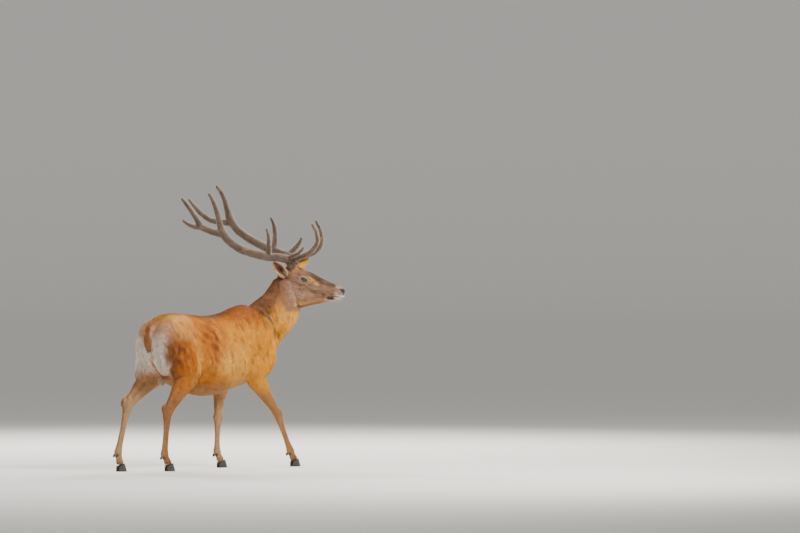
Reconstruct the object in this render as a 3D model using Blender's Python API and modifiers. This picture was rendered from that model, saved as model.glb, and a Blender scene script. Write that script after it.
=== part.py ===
"""Red deer stag in velvet, walking, with its head turned to its right. Metres, Z up, standing on z = 0."""

import math

import bmesh
import bpy
import numpy as np
from mathutils import Matrix, Vector

# ---------------------------------------------------------------- the animal's own frame
# X runs forward from the middle of the body, Y to its left, Z up from the floor.
SEGMENTS = 32          # points round a section
STEPS = 5              # rings between two stations
COAT_GAP = 0.0003      # clearance between pieces that meet

HEAD_AT = Vector((0.712, -0.100, 1.378))    # middle of the skull behind the eyes
HEAD_YAW, HEAD_PITCH, HEAD_ROLL = -49.0, -12.0, 7.0    # degrees: turned right, nose down, left side up

EYE_AT = (0.102, 0.0650, 0.050)    # in the head's frame, left side
EYE_RADIUS = 0.0195

# Trunk: x, top, widest level, bottom, half width, fullness above and below.
TRUNK = [
    (-0.630, 0.970, 0.92, 0.86, 0.080, 2.3, 2.3),
    (-0.612, 1.035, 0.93, 0.81, 0.143, 2.5, 2.3),
    (-0.570, 1.090, 0.94, 0.75, 0.165, 2.5, 2.2),
    (-0.490, 1.142, 0.95, 0.67, 0.176, 2.4, 2.1),
    (-0.400, 1.160, 0.95, 0.63, 0.180, 2.2, 2.1),
    (-0.300, 1.156, 0.91, 0.588, 0.182, 2.0, 2.1),
    (-0.200, 1.145, 0.86, 0.556, 0.190, 1.9, 2.1),
    (-0.100, 1.138, 0.82, 0.541, 0.200, 1.85, 2.1),
    (0.000, 1.141, 0.80, 0.546, 0.203, 1.8, 2.1),
    (0.100, 1.158, 0.80, 0.566, 0.197, 1.75, 2.1),
    (0.190, 1.190, 0.80, 0.590, 0.186, 1.7, 2.0),
    (0.280, 1.213, 0.82, 0.612, 0.176, 1.65, 2.0),
    (0.360, 1.211, 0.84, 0.634, 0.166, 1.65, 2.0),
    (0.440, 1.180, 0.86, 0.646, 0.154, 1.8, 2.0),
    (0.515, 1.115, 0.88, 0.657, 0.134, 2.0, 2.0),
    (0.565, 1.050, 0.88, 0.696, 0.112, 2.0, 2.0),
    (0.600, 0.970, 0.87, 0.762, 0.070, 2.0, 2.0),
]

# Neck: middle, reach to the throat, reach to the nape, half width.
NECK = [
    (0.340, 0.000, 0.930, 0.220, 0.215, 0.128),
    (0.465, -0.003, 1.015, 0.224, 0.210, 0.130),
    (0.545, -0.018, 1.090, 0.208, 0.184, 0.121),
    (0.638, -0.045, 1.188, 0.202, 0.164, 0.110),
    (0.690, -0.072, 1.290, 0.160, 0.148, 0.099),
    (0.714, -0.090, 1.368, 0.134, 0.127, 0.088),
    (0.722, -0.099, 1.415, 0.085, 0.082, 0.066),
]

# Head, in its own frame: x, top, widest level, bottom, half width, fullness above and below.
HEAD = [
    (-0.095, 0.060, 0.00, -0.085, 0.050, 2.0, 2.0),
    (-0.060, 0.100, 0.00, -0.146, 0.070, 2.1, 1.9),
    (-0.020, 0.122, 0.01, -0.178, 0.079, 2.2, 1.8),
    (0.030, 0.124, 0.02, -0.194, 0.083, 2.3, 1.75),
    (0.070, 0.117, 0.02, -0.193, 0.083, 2.3, 1.75),
    (0.110, 0.110, 0.01, -0.181, 0.078, 2.4, 1.8),
    (0.150, 0.103, 0.00, -0.160, 0.068, 2.4, 1.8),
    (0.190, 0.093, 0.00, -0.140, 0.057, 2.3, 1.8),
    (0.240, 0.079, 0.00, -0.118, 0.048, 2.2, 1.9),
    (0.290, 0.066, 0.00, -0.097, 0.0435, 2.2, 2.0),
    (0.335, 0.056, -0.003, -0.077, 0.0415, 2.3, 2.1),
    (0.372, 0.049, -0.006, -0.070, 0.0405, 2.4, 2.3),
    (0.400, 0.041, -0.008, -0.064, 0.0365, 2.4, 2.4),
    (0.418, 0.026, -0.008, -0.043, 0.0250, 2.2, 2.2),
]

# Leg sections: bone, how far along it, reach forward, back and to the side.
FORE_SECTIONS = [
    (0, -0.15, 0.050, 0.060, 0.030),
    (0, 0.10, 0.085, 0.115, 0.050),
    (0, 0.50, 0.085, 0.130, 0.056),
    (0, 0.85, 0.082, 0.100, 0.050),
    (1, 0.05, 0.100, 0.078, 0.046),
    (1, 0.30, 0.078, 0.060, 0.042),
    (1, 0.60, 0.046, 0.045, 0.034),
    (1, 0.84, 0.033, 0.034, 0.029),
    (1, 0.97, 0.036, 0.034, 0.032),
    (2, 0.10, 0.033, 0.032, 0.029),
    (2, 0.28, 0.023, 0.026, 0.022),
    (2, 0.60, 0.019, 0.023, 0.019),
    (2, 0.86, 0.022, 0.026, 0.023),
    (3, 0.02, 0.027, 0.031, 0.028),
    (3, 0.45, 0.021, 0.025, 0.025),
    (3, 0.85, 0.024, 0.027, 0.029),
    (3, 1.00, 0.020, 0.022, 0.024),
]
HIND_SECTIONS = [
    (0, -0.25, 0.080, 0.085, 0.050),
    (0, 0.05, 0.135, 0.150, 0.082),
    (0, 0.45, 0.142, 0.190, 0.092),
    (0, 0.80, 0.105, 0.185, 0.080),
    (1, 0.05, 0.080, 0.150, 0.066),
    (1, 0.28, 0.066, 0.110, 0.052),
    (1, 0.52, 0.052, 0.084, 0.038),
    (1, 0.76, 0.040, 0.064, 0.029),
    (1, 0.93, 0.038, 0.056, 0.029),
    (2, 0.04, 0.034, 0.046, 0.030),
    (2, 0.22, 0.027, 0.032, 0.024),
    (2, 0.50, 0.022, 0.025, 0.020),
    (2, 0.84, 0.023, 0.027, 0.024),
    (3, 0.02, 0.028, 0.032, 0.029),
    (3, 0.45, 0.022, 0.026, 0.026),
    (3, 0.85, 0.025, 0.028, 0.030),
    (3, 1.00, 0.021, 0.023, 0.025),
]
# Joints from the shoulder or hip down to the top of the hoof, and where the toes point.
LEGS = {
    "fore_right": (FORE_SECTIONS, [(0.490, -0.105, 0.860), (0.325, -0.125, 0.668), (0.568, -0.112, 0.405),
                                   (0.706, -0.110, 0.122), (0.745, -0.110, 0.052)]),
    "fore_left": (FORE_SECTIONS, [(0.430, 0.105, 0.850), (0.212, 0.125, 0.662), (0.176, 0.112, 0.372),
                                  (0.166, 0.110, 0.122), (0.204, 0.110, 0.052)]),
    "hind_right": (HIND_SECTIONS, [(-0.420, -0.088, 0.960), (-0.318, -0.130, 0.705), (-0.521, -0.105, 0.430),
                                   (-0.548, -0.100, 0.126), (-0.508, -0.100, 0.052)]),
    "hind_left": (HIND_SECTIONS, [(-0.435, 0.088, 0.960), (-0.440, 0.130, 0.700), (-0.722, 0.108, 0.485),
                                  (-0.822, 0.104, 0.140), (-0.802, 0.104, 0.054)]),
}

# Rounded masses laid over the lofts: middle, half sizes, degrees turned about Y.
MASSES = [
    ((0.395, 0.118, 0.940), (0.105, 0.062, 0.210), 22.0),      # shoulder blades
    ((0.395, -0.118, 0.940), (0.105, 0.062, 0.210), 22.0),
    ((-0.530, 0.092, 0.900), (0.108, 0.088, 0.200), 0.0),      # buttocks
    ((-0.530, -0.092, 0.900), (0.108, 0.088, 0.200), 0.0),
    ((-0.560, 0.120, 0.740), (0.075, 0.050, 0.110), 10.0),     # back of the left thigh
    ((-0.480, 0.000, 0.676), (0.040, 0.034, 0.046), 0.0),      # scrotum
    ((-0.767, 0.108, 0.510), (0.018, 0.018, 0.038), 20.0),     # points of the hocks
    ((-0.560, -0.105, 0.456), (0.018, 0.018, 0.038), 6.0),
]

# Tail: middle, reach forward, back and to the side.
TAIL = [
    (-0.560, -0.002, 1.094, 0.030, 0.026, 0.034),
    (-0.612, -0.010, 1.046, 0.026, 0.026, 0.041),
    (-0.642, -0.020, 0.990, 0.022, 0.021, 0.040),
    (-0.652, -0.029, 0.940, 0.018, 0.018, 0.034),
    (-0.652, -0.035, 0.903, 0.011, 0.011, 0.021),
    (-0.649, -0.037, 0.882, 0.004, 0.004, 0.008),
]


def curve_through(rows, steps=STEPS):
    """The rows as knots of a Catmull-Rom curve, with this many steps between two knots."""
    knots = np.array(rows, float)
    ends = np.vstack([2 * knots[0] - knots[1], knots, 2 * knots[-1] - knots[-2]])
    found = []
    for a, b, c, d in zip(ends, ends[1:], ends[2:], ends[3:]):
        for s in np.linspace(0, 1, steps, endpoint=False):
            bend = (2 * a - 5 * b + 4 * c - d) * s**2 + (3 * b - a - 3 * c + d) * s**3
            found.append(b + 0.5 * ((c - a) * s + bend))
    return np.array(found + [knots[-1]])


def unit(v):
    return v / np.linalg.norm(v, axis=-1, keepdims=True)


def section(middle, up, side, top, bottom, width, upper=2.0, lower=2.0, around=SEGMENTS):
    """A closed ring of points whose fullness is 2 for an ellipse and more for a squarer shape."""
    angle = np.linspace(0, 2 * math.pi, around, endpoint=False)
    c, s = np.cos(angle), np.sin(angle)
    power = np.where(s >= 0, 2 / upper, 2 / lower)
    across = width * np.sign(c) * np.abs(c) ** power
    high = np.where(s >= 0, top, bottom) * np.sign(s) * np.abs(s) ** power
    return middle + across[:, None] * side + high[:, None] * up


def mesh_of(points, faces):
    """A mesh with its faces turned outward."""
    mesh = bpy.data.meshes.new("form")
    mesh.from_pydata(np.asarray(points).tolist(), [], faces)
    whole = bmesh.new()
    whole.from_mesh(mesh)
    bmesh.ops.recalc_face_normals(whole, faces=whole.faces)
    whole.to_mesh(mesh)
    whole.free()
    return mesh


def loft(rings):
    """A closed mesh through the rings, with a point in the middle of each end."""
    rings = np.array(rings)
    count, around = rings.shape[:2]
    points = np.vstack([rings.reshape(-1, 3), rings[0].mean(0), rings[-1].mean(0)])
    faces = []
    for i in range(count - 1):
        for j in range(around):
            k = (j + 1) % around
            faces.append((i * around + j, i * around + k, (i + 1) * around + k, (i + 1) * around + j))
    for row, middle in ((0, count * around), (count - 1, count * around + 1)):
        for j in range(around):
            faces.append((row * around + j, row * around + (j + 1) % around, middle))
    return mesh_of(points, faces)


def level_loft(stations):
    """A loft whose sections stand upright across X, as in the trunk and the head."""
    rings = []
    up, side = np.array((0, 0, 1.0)), np.array((0, 1.0, 0))
    for x, top, level, bottom, width, upper, lower in curve_through(stations):
        middle = np.array((x, 0, level))
        rings.append(section(middle, up, side, top - level, level - bottom, width, upper, lower))
    return loft(rings)


def bent_loft(stations, forward, around=SEGMENTS, steps=STEPS):
    """A loft square to its own bent middle line. Rows: the middle, reach forward, back and to the side."""
    rows = curve_through(stations, steps)
    along = unit(np.gradient(rows[:, :3], axis=0))
    side = unit(np.cross(along, forward))
    front = np.cross(side, along)
    rings = [section(r[:3], f, s, r[3], r[4], r[5], around=around) for r, f, s in zip(rows, front, side)]
    return loft(rings)


def leg_stations(sections, joints):
    joints = np.array(joints)
    rows = []
    for bone, share, ahead, behind, width in sections:
        middle = joints[bone] + share * (joints[bone + 1] - joints[bone])
        rows.append((*middle, ahead, behind, width))
    return rows


def ellipsoid(middle, sizes, turn, around=28, high=18):
    ball = bmesh.new()
    bmesh.ops.create_uvsphere(ball, u_segments=around, v_segments=high, radius=1.0)
    leaning = Matrix.Rotation(math.radians(turn), 4, "Y")
    place = Matrix.Translation(middle) @ leaning @ Matrix.Diagonal((*sizes, 1))
    bmesh.ops.transform(ball, matrix=place, verts=ball.verts)
    mesh = bpy.data.meshes.new("mass")
    ball.to_mesh(mesh)
    ball.free()
    return mesh


def head_matrix():
    """From the head's frame, X to the nose, Y to its left and Z up, to the animal's frame."""
    turns = (("Z", HEAD_YAW), ("Y", -HEAD_PITCH), ("X", HEAD_ROLL))
    place = Matrix.Translation(HEAD_AT)
    for axis, degrees in turns:
        place = place @ Matrix.Rotation(math.radians(degrees), 4, axis)
    return place

# Antlers in velvet, in the head's frame with y outward: x, y, z, radius.
BEAMS = {
    "right": [(0.004, 0.043, 0.105, 0.026), (-0.012, 0.046, 0.146, 0.034), (-0.052, 0.068, 0.174, 0.031),
              (-0.120, 0.120, 0.180, 0.030), (-0.195, 0.180, 0.178, 0.031), (-0.290, 0.250, 0.192, 0.030),
              (-0.375, 0.300, 0.210, 0.029), (-0.462, 0.335, 0.252, 0.028), (-0.525, 0.350, 0.306, 0.029),
              (-0.563, 0.345, 0.370, 0.023), (-0.595, 0.330, 0.435, 0.019), (-0.640, 0.305, 0.505, 0.015),
              (-0.690, 0.280, 0.560, 0.0105)],
    "left": [(0.004, 0.043, 0.105, 0.026), (-0.010, 0.046, 0.146, 0.034), (-0.052, 0.070, 0.176, 0.031),
             (-0.125, 0.120, 0.178, 0.030), (-0.200, 0.172, 0.180, 0.031), (-0.300, 0.235, 0.192, 0.030),
             (-0.400, 0.285, 0.214, 0.029), (-0.500, 0.328, 0.252, 0.028), (-0.565, 0.345, 0.308, 0.029),
             (-0.598, 0.340, 0.368, 0.023), (-0.625, 0.325, 0.430, 0.019), (-0.660, 0.303, 0.492, 0.015),
             (-0.708, 0.280, 0.546, 0.0105)],
}
# Tines, each starting inside the one it grows from.
TINES = {
    "right": [
        ("brow", [
            (-0.018, 0.050, 0.165, 0.020), (0.028, 0.066, 0.200, 0.022), (0.075, 0.082, 0.232, 0.020),
            (0.127, 0.100, 0.285, 0.018), (0.151, 0.110, 0.348, 0.016), (0.138, 0.115, 0.414, 0.013),
            (0.092, 0.110, 0.476, 0.0095)]),
        ("bez", [
            (-0.052, 0.070, 0.178, 0.016), (-0.018, 0.090, 0.205, 0.018), (0.018, 0.112, 0.232, 0.015),
            (0.045, 0.126, 0.262, 0.012), (0.061, 0.135, 0.292, 0.0095)]),
        ("trez", [
            (-0.176, 0.168, 0.180, 0.018), (-0.180, 0.185, 0.225, 0.019), (-0.190, 0.205, 0.280, 0.016),
            (-0.200, 0.222, 0.335, 0.013), (-0.223, 0.230, 0.386, 0.0095)]),
        ("crown_back", [
            (-0.510, 0.348, 0.292, 0.021), (-0.560, 0.356, 0.300, 0.024), (-0.625, 0.366, 0.308, 0.023),
            (-0.690, 0.375, 0.325, 0.023), (-0.738, 0.378, 0.375, 0.018), (-0.805, 0.364, 0.438, 0.014),
            (-0.875, 0.338, 0.492, 0.0095)]),
        ("crown_side", [
            (-0.680, 0.374, 0.318, 0.017), (-0.735, 0.394, 0.318, 0.017), (-0.782, 0.412, 0.328, 0.013),
            (-0.824, 0.430, 0.350, 0.0095)]),
    ],
    "left": [
        ("brow", [
            (-0.016, 0.050, 0.165, 0.020), (0.030, 0.064, 0.192, 0.022), (0.085, 0.076, 0.218, 0.020),
            (0.132, 0.088, 0.250, 0.018), (0.162, 0.102, 0.302, 0.017), (0.161, 0.111, 0.350, 0.015),
            (0.138, 0.115, 0.410, 0.012), (0.093, 0.110, 0.472, 0.0095)]),
        ("bez", [
            (-0.060, 0.074, 0.178, 0.018), (-0.040, 0.098, 0.212, 0.020), (-0.018, 0.125, 0.248, 0.018),
            (-0.002, 0.145, 0.284, 0.014), (0.006, 0.156, 0.318, 0.0095)]),
        ("trez", [
            (-0.182, 0.162, 0.180, 0.020), (-0.188, 0.178, 0.240, 0.021), (-0.200, 0.200, 0.300, 0.018),
            (-0.224, 0.220, 0.360, 0.014), (-0.257, 0.230, 0.408, 0.0095)]),
        ("crown_back", [
            (-0.555, 0.342, 0.292, 0.020), (-0.605, 0.352, 0.282, 0.022), (-0.663, 0.364, 0.274, 0.020),
            (-0.726, 0.375, 0.276, 0.018), (-0.800, 0.377, 0.308, 0.016), (-0.865, 0.362, 0.358, 0.012),
            (-0.903, 0.346, 0.396, 0.0095)]),
    ],
}
LOW_KNOTS = 5           # the lower beam reaches this far, to the trez

# Ears in the head's frame: root, tip, the way the hollow faces.
EARS = {
    "right": ((-0.038, -0.070, 0.052), (-0.126, -0.172, 0.142), (0.50, -0.78, -0.25)),
    "left": ((-0.008, 0.068, 0.056), (0.082, 0.135, 0.205), (0.30, 0.95, -0.20)),
}
# Share of the ear's length, radius of its curl, half angle of the curl.
EAR_CURL = [(0.00, 0.019, 150), (0.12, 0.025, 135), (0.25, 0.032, 108), (0.42, 0.040, 82), (0.60, 0.042, 68),
            (0.78, 0.038, 56), (0.90, 0.030, 46), (0.97, 0.021, 38), (1.00, 0.008, 32)]
EAR_WALL = 0.006


def frames_along(points):
    """Unit directions along a line of points and two across it, turning as little as they can."""
    along = unit(np.gradient(points, axis=0))
    first = unit(np.cross(along[0], (0.31, 0.17, 0.93)))
    ups = [first]
    for step in along[1:]:
        last = ups[-1]
        ups.append(unit(last - step * np.dot(last, step)))
    ups = np.array(ups)
    return along, ups, np.cross(along, ups)


def tube_rings(rows, around):
    """Rings of points round a line of x, y, z, radius."""
    along, up, side = frames_along(rows[:, :3])
    angle = np.linspace(0, 2 * math.pi, around, endpoint=False)
    rings = []
    for row, u, s in zip(rows, up, side):
        rings.append(row[:3] + row[3] * (np.cos(angle)[:, None] * u + np.sin(angle)[:, None] * s))
    return np.array(rings)


def mirrored(rows, side):
    flip = -1.0 if side == "right" else 1.0
    return [(x, y * flip, z, radius) for x, y, z, radius in rows]


def ear_mesh(side, steps, around):
    root, tip, face = (np.array(v, float) for v in EARS[side])
    axis = unit(tip - root)
    face = unit(face - axis * np.dot(face, axis))
    across = np.cross(axis, face)
    length = np.linalg.norm(tip - root)
    rings = []
    for share, radius, half in curve_through(EAR_CURL, steps):
        angle = np.radians(np.linspace(-half, half, around))[:, None]
        wall = min(EAR_WALL, radius * 0.55)
        middle = root + axis * length * share - face * (0.014 - radius)
        outer = middle + radius * (np.sin(angle) * across - np.cos(angle) * face)
        inner = middle + (radius - wall) * (np.sin(angle) * across - np.cos(angle) * face)
        rings.append(np.vstack([outer, inner[::-1]]))
    rings = np.array(rings)
    count, ring = rings.shape[:2]
    faces = []
    for i in range(count - 1):
        for j in range(ring):
            k = (j + 1) % ring
            faces.append((i * ring + j, i * ring + k, (i + 1) * ring + k, (i + 1) * ring + j))
    for row in (0, count - 1):
        for j in range(around - 1):
            faces.append(tuple(row * ring + n for n in (j, j + 1, ring - 2 - j, ring - 1 - j)))
    return mesh_of(rings.reshape(-1, 3), faces)

# Claws: half length of the sole, its half width, the coronet's, and heights at heel and toe.
SOLE_LENGTH, SOLE_WIDTH = 0.041, 0.0135
TOP_LENGTH, TOP_WIDTH, TOP_BACK = 0.029, 0.0125, 0.010
TOP_HEIGHT, TOP_SLOPE = 0.050, 0.34
CLAW_APART = 0.0152     # from the hoof's middle to the claw's
CLAW_AROUND = 16
TOE_TAPER, INNER_SHARE = 0.42, 0.62     # how much the toe narrows, and the inner side's width by the outer's
SOLE_EDGE, SOLE_ROUND = 0.0012, 0.003   # the sole's rounded rim: how far in, and how high
HOOF_AHEAD = 0.004                      # the hoof's middle stands this far before the end of the pastern

# Dewclaws: how far behind, below and beside the fetlock, half sizes, degrees turned.
DEWCLAW_BACK, DEWCLAW_DOWN, DEWCLAW_OUT = 0.028, 0.016, 0.017
DEWCLAW_SIZES, DEWCLAW_TURN = (0.0105, 0.0085, 0.016), 25.0

# A point inside each large piece of flesh, to name it by. The head's is in its own frame.
TRUNK_INSIDE, NECK_INSIDE, HEAD_INSIDE = (0.0, 0.0, 0.85), (0.600, -0.045, 1.220), (0.20, 0.0, 0.0)

# Where thin cuts part the flesh: middle, direction across the cut, radius.
HEAD_CUT = ((-0.030, 0.0, -0.060), (0.895, 0.0, 0.447), 0.32)      # in the head's frame
NECK_CUT = ((0.545, -0.018, 1.090), (0.70, -0.10, 0.71), 0.34)
LEG_CUTS = {
    "fore": ((1, 0.32, 0.105, "forearm"), (2, 0.04, 0.060, "cannon"), (3, -0.04, 0.050, "pastern")),
    "hind": ((1, 0.42, 0.150, "shank"), (2, 0.04, 0.110, "cannon"), (3, -0.04, 0.050, "pastern")),
}

FLESH_VOXEL = 0.0075
FLESH_TRIANGLES = 2930
SMOOTHINGS = 9                          # each one in and a little more out, so that nothing shrinks
SMOOTH_IN, SMOOTH_OUT = 0.5, -0.52
BEAM_AROUND, TINE_AROUND, EAR_AROUND, TAIL_AROUND = 9, 7, 7, 12     # points round their sections
PEDICLE = [(0.010, 0.040, 0.060, 0.024), (-0.008, 0.045, 0.136, 0.025)]     # the bone an antler stands on

# Where the floor lies under the middle of the whole animal's box, in the animal's own frame.
BOX_MIDDLE = Vector((0.0708, 0.1387, 0.0))

# Colour and roughness of each kind of surface.
FINISHES = {
    "coat": ((0.52, 0.25, 0.09, 1.0), 0.85),
    "neck_coat": ((0.42, 0.25, 0.13, 1.0), 0.85),
    "face_coat": ((0.33, 0.25, 0.19, 1.0), 0.85),
    "leg_coat": ((0.43, 0.28, 0.15, 1.0), 0.85),
    "tail_coat": ((0.50, 0.22, 0.08, 1.0), 0.85),
    "velvet": ((0.36, 0.28, 0.22, 1.0), 0.90),
    "claw_horn": ((0.06, 0.05, 0.045, 1.0), 0.45),
    "eye": ((0.02, 0.013, 0.01, 1.0), 0.08),
}
NODE_FINISHES = (("antler", "velvet"), ("claw", "claw_horn"), ("dewclaw", "claw_horn"), ("eye", "eye"),
                 ("ear", "face_coat"), ("head", "face_coat"), ("neck", "neck_coat"), ("tail", "tail_coat"),
                 ("fore", "leg_coat"), ("hind", "leg_coat"), ("trunk", "coat"))


def material(name):
    colour, roughness = FINISHES[name]
    made = bpy.data.materials.new(name)
    made.use_nodes = True
    made.diffuse_color = colour
    shader = made.node_tree.nodes["Principled BSDF"]
    shader.inputs["Base Color"].default_value = colour
    shader.inputs["Roughness"].default_value = roughness
    shader.inputs["Metallic"].default_value = 0.0
    return made


def finish_nodes(nodes):
    """Gives each node the material of its kind, and shades it smooth over its shallow edges."""
    made = {name: material(name) for name in FINISHES}
    for obj in nodes:
        finish = next(finish for start, finish in NODE_FINISHES if obj.name.startswith(start))
        obj.data.materials.clear()
        obj.data.materials.append(made[finish])
        obj.data.shade_smooth()
        obj.data.set_sharp_from_angle(angle=math.radians(40))


def add(name, mesh):
    obj = bpy.data.objects.new(name, mesh)
    bpy.context.scene.collection.objects.link(obj)
    return obj


def bake_modifiers(obj):
    """Replaces the object's mesh with what its modifiers make of it."""
    graph = bpy.context.evaluated_depsgraph_get()
    made = bpy.data.meshes.new_from_object(obj.evaluated_get(graph))
    obj.modifiers.clear()
    obj.data = made


def cut(obj, cutter):
    """Takes the cutter out of the object."""
    change = obj.modifiers.new("cut", "BOOLEAN")
    change.operation = "DIFFERENCE"
    change.solver = "EXACT"
    change.object = cutter
    bake_modifiers(obj)


def grown(obj):
    """A hidden copy of the object, larger by the clearance all round."""
    mesh = obj.data.copy()
    for vertex, normal in zip(mesh.vertices, [v.normal.copy() for v in mesh.vertices]):
        vertex.co += normal * COAT_GAP * 1.5
    copy = add(obj.name + "_grown", mesh)
    copy.matrix_world = obj.matrix_world
    return copy


def remove(obj):
    bpy.data.objects.remove(obj)


def pieces_of(obj):
    """The separate shells of the object's mesh, largest first, as new meshes."""
    whole = bmesh.new()
    whole.from_mesh(obj.data)
    left = set(whole.verts)
    found = []
    while left:
        stack = [left.pop()]
        shell = set(stack)
        while stack:
            for edge in stack.pop().link_edges:
                for vertex in edge.verts:
                    if vertex not in shell:
                        shell.add(vertex)
                        stack.append(vertex)
        left -= shell
        number = {vertex: i for i, vertex in enumerate(shell)}
        faces = [[number[v] for v in face.verts] for face in whole.faces if face.verts[0] in shell]
        mesh = bpy.data.meshes.new("piece")
        mesh.from_pydata([v.co[:] for v in number], [], faces)
        found.append(mesh)
    whole.free()
    return sorted(found, key=lambda mesh: -size_of(mesh))


def size_of(mesh):
    points = np.array([v.co[:] for v in mesh.vertices])
    return np.prod(points.max(0) - points.min(0) + 1e-4)


def fit_against(name, mesh, neighbours):
    """The mesh as a node, with what lies inside its neighbours cut away and the largest rest kept."""
    obj = add(name, mesh)
    for neighbour in neighbours:
        cutter = grown(neighbour)
        cut(obj, cutter)
        remove(cutter)
    obj.data = pieces_of(obj)[0]
    return obj


def disc(middle, direction, radius):
    """A disc as thick as the clearance."""
    mesh = bpy.data.meshes.new("disc")
    whole = bmesh.new()
    bmesh.ops.create_cone(whole, cap_ends=True, segments=24, radius1=radius, radius2=radius, depth=COAT_GAP)
    turn = Vector(direction).to_track_quat("Z", "Y").to_matrix().to_4x4()
    bmesh.ops.transform(whole, matrix=Matrix.Translation(middle) @ turn, verts=whole.verts)
    whole.to_mesh(mesh)
    whole.free()
    return mesh


def relaxed(mesh, rounds, hold):
    """Evens out the mesh without shrinking it. Where hold is 1 a point stays where it is."""
    points = np.array([v.co[:] for v in mesh.vertices])
    edges = np.array([e.vertices[:] for e in mesh.edges])
    count = np.bincount(edges.ravel(), minlength=len(points))[:, None]
    free = (1 - hold(points))[:, None]
    for strength in (SMOOTH_IN, SMOOTH_OUT) * rounds:
        total = np.zeros_like(points)
        np.add.at(total, edges[:, 0], points[edges[:, 1]])
        np.add.at(total, edges[:, 1], points[edges[:, 0]])
        points = points + strength * free * (total / count - points)
    mesh.vertices.foreach_set("co", points.ravel())


def in_head(points):
    """The points in the head's frame."""
    matrix = np.array(head_matrix().inverted())
    return points @ matrix[:3, :3].T + matrix[:3, 3]


def fineness(points):
    """1 where small shapes matter: the face, the lower legs and the tail. 0 on the trunk."""
    on_head = in_head(points)
    face = np.clip((on_head[:, 0] + 0.02) / 0.10, 0, 1) * (np.linalg.norm(on_head, axis=1) < 0.5)
    legs = 0.7 * np.clip((0.50 - points[:, 2]) / 0.15, 0, 1)
    return np.maximum(0.8 * face, legs)


def flesh_mesh():
    """Trunk, neck, head and legs grown together in one closed skin."""
    whole = bmesh.new()
    head = level_loft(HEAD)
    head.transform(head_matrix())
    forms = [level_loft(TRUNK), bent_loft(NECK, (1.0, 0.0, -0.6)), head]
    for sections, joints in LEGS.values():
        forms.append(bent_loft(leg_stations(sections, joints), (1.0, 0.0, 0.0)))
    for middle, sizes, turn in MASSES:
        forms.append(ellipsoid(middle, sizes, turn))
    for side in BEAMS:
        stub = loft(tube_rings(np.array(mirrored(PEDICLE, side)), 16))
        stub.transform(head_matrix())
        forms.append(stub)
    for form in forms:
        whole.from_mesh(form)
    mesh = bpy.data.meshes.new("flesh")
    whole.to_mesh(mesh)
    whole.free()
    obj = add("flesh", mesh)
    obj.modifiers.new("grow together", "REMESH").voxel_size = FLESH_VOXEL
    bake_modifiers(obj)
    relaxed(obj.data, SMOOTHINGS, lambda points: 0.6 * fineness(points))
    group = obj.vertex_groups.new(name="coarse")
    points = np.array([v.co[:] for v in obj.data.vertices])
    for i, fine in enumerate(fineness(points)):
        group.add([i], 1.0 - 0.20 * fine, "REPLACE")
    thin = obj.modifiers.new("fewer faces", "DECIMATE")
    thin.ratio = FLESH_TRIANGLES / (2 * len(obj.data.polygons))
    thin.use_collapse_triangulate = True
    thin.vertex_group = "coarse"
    thin.vertex_group_factor = 1.0
    bake_modifiers(obj)
    return obj


def claw_mesh(middle_x, middle_y, side):
    """One claw of a hoof: flat sole, sloping top, the toe narrow and the inner side straight."""
    angle = np.linspace(0, 2 * math.pi, CLAW_AROUND, endpoint=False)
    forward, out = np.cos(angle), np.sin(angle)
    narrow = 1 - TOE_TAPER * np.clip(forward, 0, 1) ** 2
    out = np.where(out > 0, out, INNER_SHARE * out) * narrow

    def ring(length, width, back, height):
        x = middle_x + length * forward - back
        y = middle_y + side * (CLAW_APART - 0.0015 + width * out)
        return np.stack([x, y, height(x)], axis=1)

    return loft([
        ring(SOLE_LENGTH - SOLE_EDGE, SOLE_WIDTH - SOLE_EDGE, 0.0, lambda x: np.zeros(CLAW_AROUND)),
        ring(SOLE_LENGTH, SOLE_WIDTH, 0.0, lambda x: np.full(CLAW_AROUND, SOLE_ROUND)),
        ring(TOP_LENGTH, TOP_WIDTH, TOP_BACK, lambda x: hoof_top(x, middle_x) - COAT_GAP)])


def hoof_top(x, middle_x):
    """The height of the coronet, which rises toward the toe."""
    return TOP_HEIGHT + TOP_SLOPE * (x - middle_x + TOP_BACK)


def below_coronet(middle_x, middle_y):
    """A block that takes off what the pastern has below the coronet."""
    reach, aside, deep = 0.09, 0.06, -0.06
    low, high = hoof_top(middle_x - reach, middle_x), hoof_top(middle_x + reach, middle_x)
    rings = []
    for y in (middle_y - aside, middle_y + aside):
        rings.append([(middle_x - reach, y, low), (middle_x + reach, y, high),
                      (middle_x + reach, y, deep), (middle_x - reach, y, deep)])
    return loft(rings)


def cut_by(obj, mesh):
    """Takes the mesh out of the object."""
    cutter = add("cutter", mesh)
    cut(obj, cutter)
    remove(cutter)


def along_leg(joints, bone, share):
    """A place on a bone of the leg, and the way the bone runs."""
    joints = np.array(joints)
    return joints[bone] + share * (joints[bone + 1] - joints[bone]), unit(joints[bone + 1] - joints[bone])


def hoof_middle(joints):
    """Where the middle of the hoof's sole stands."""
    return joints[-1][0] + TOP_BACK + HOOF_AHEAD, joints[-1][1]


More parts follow.
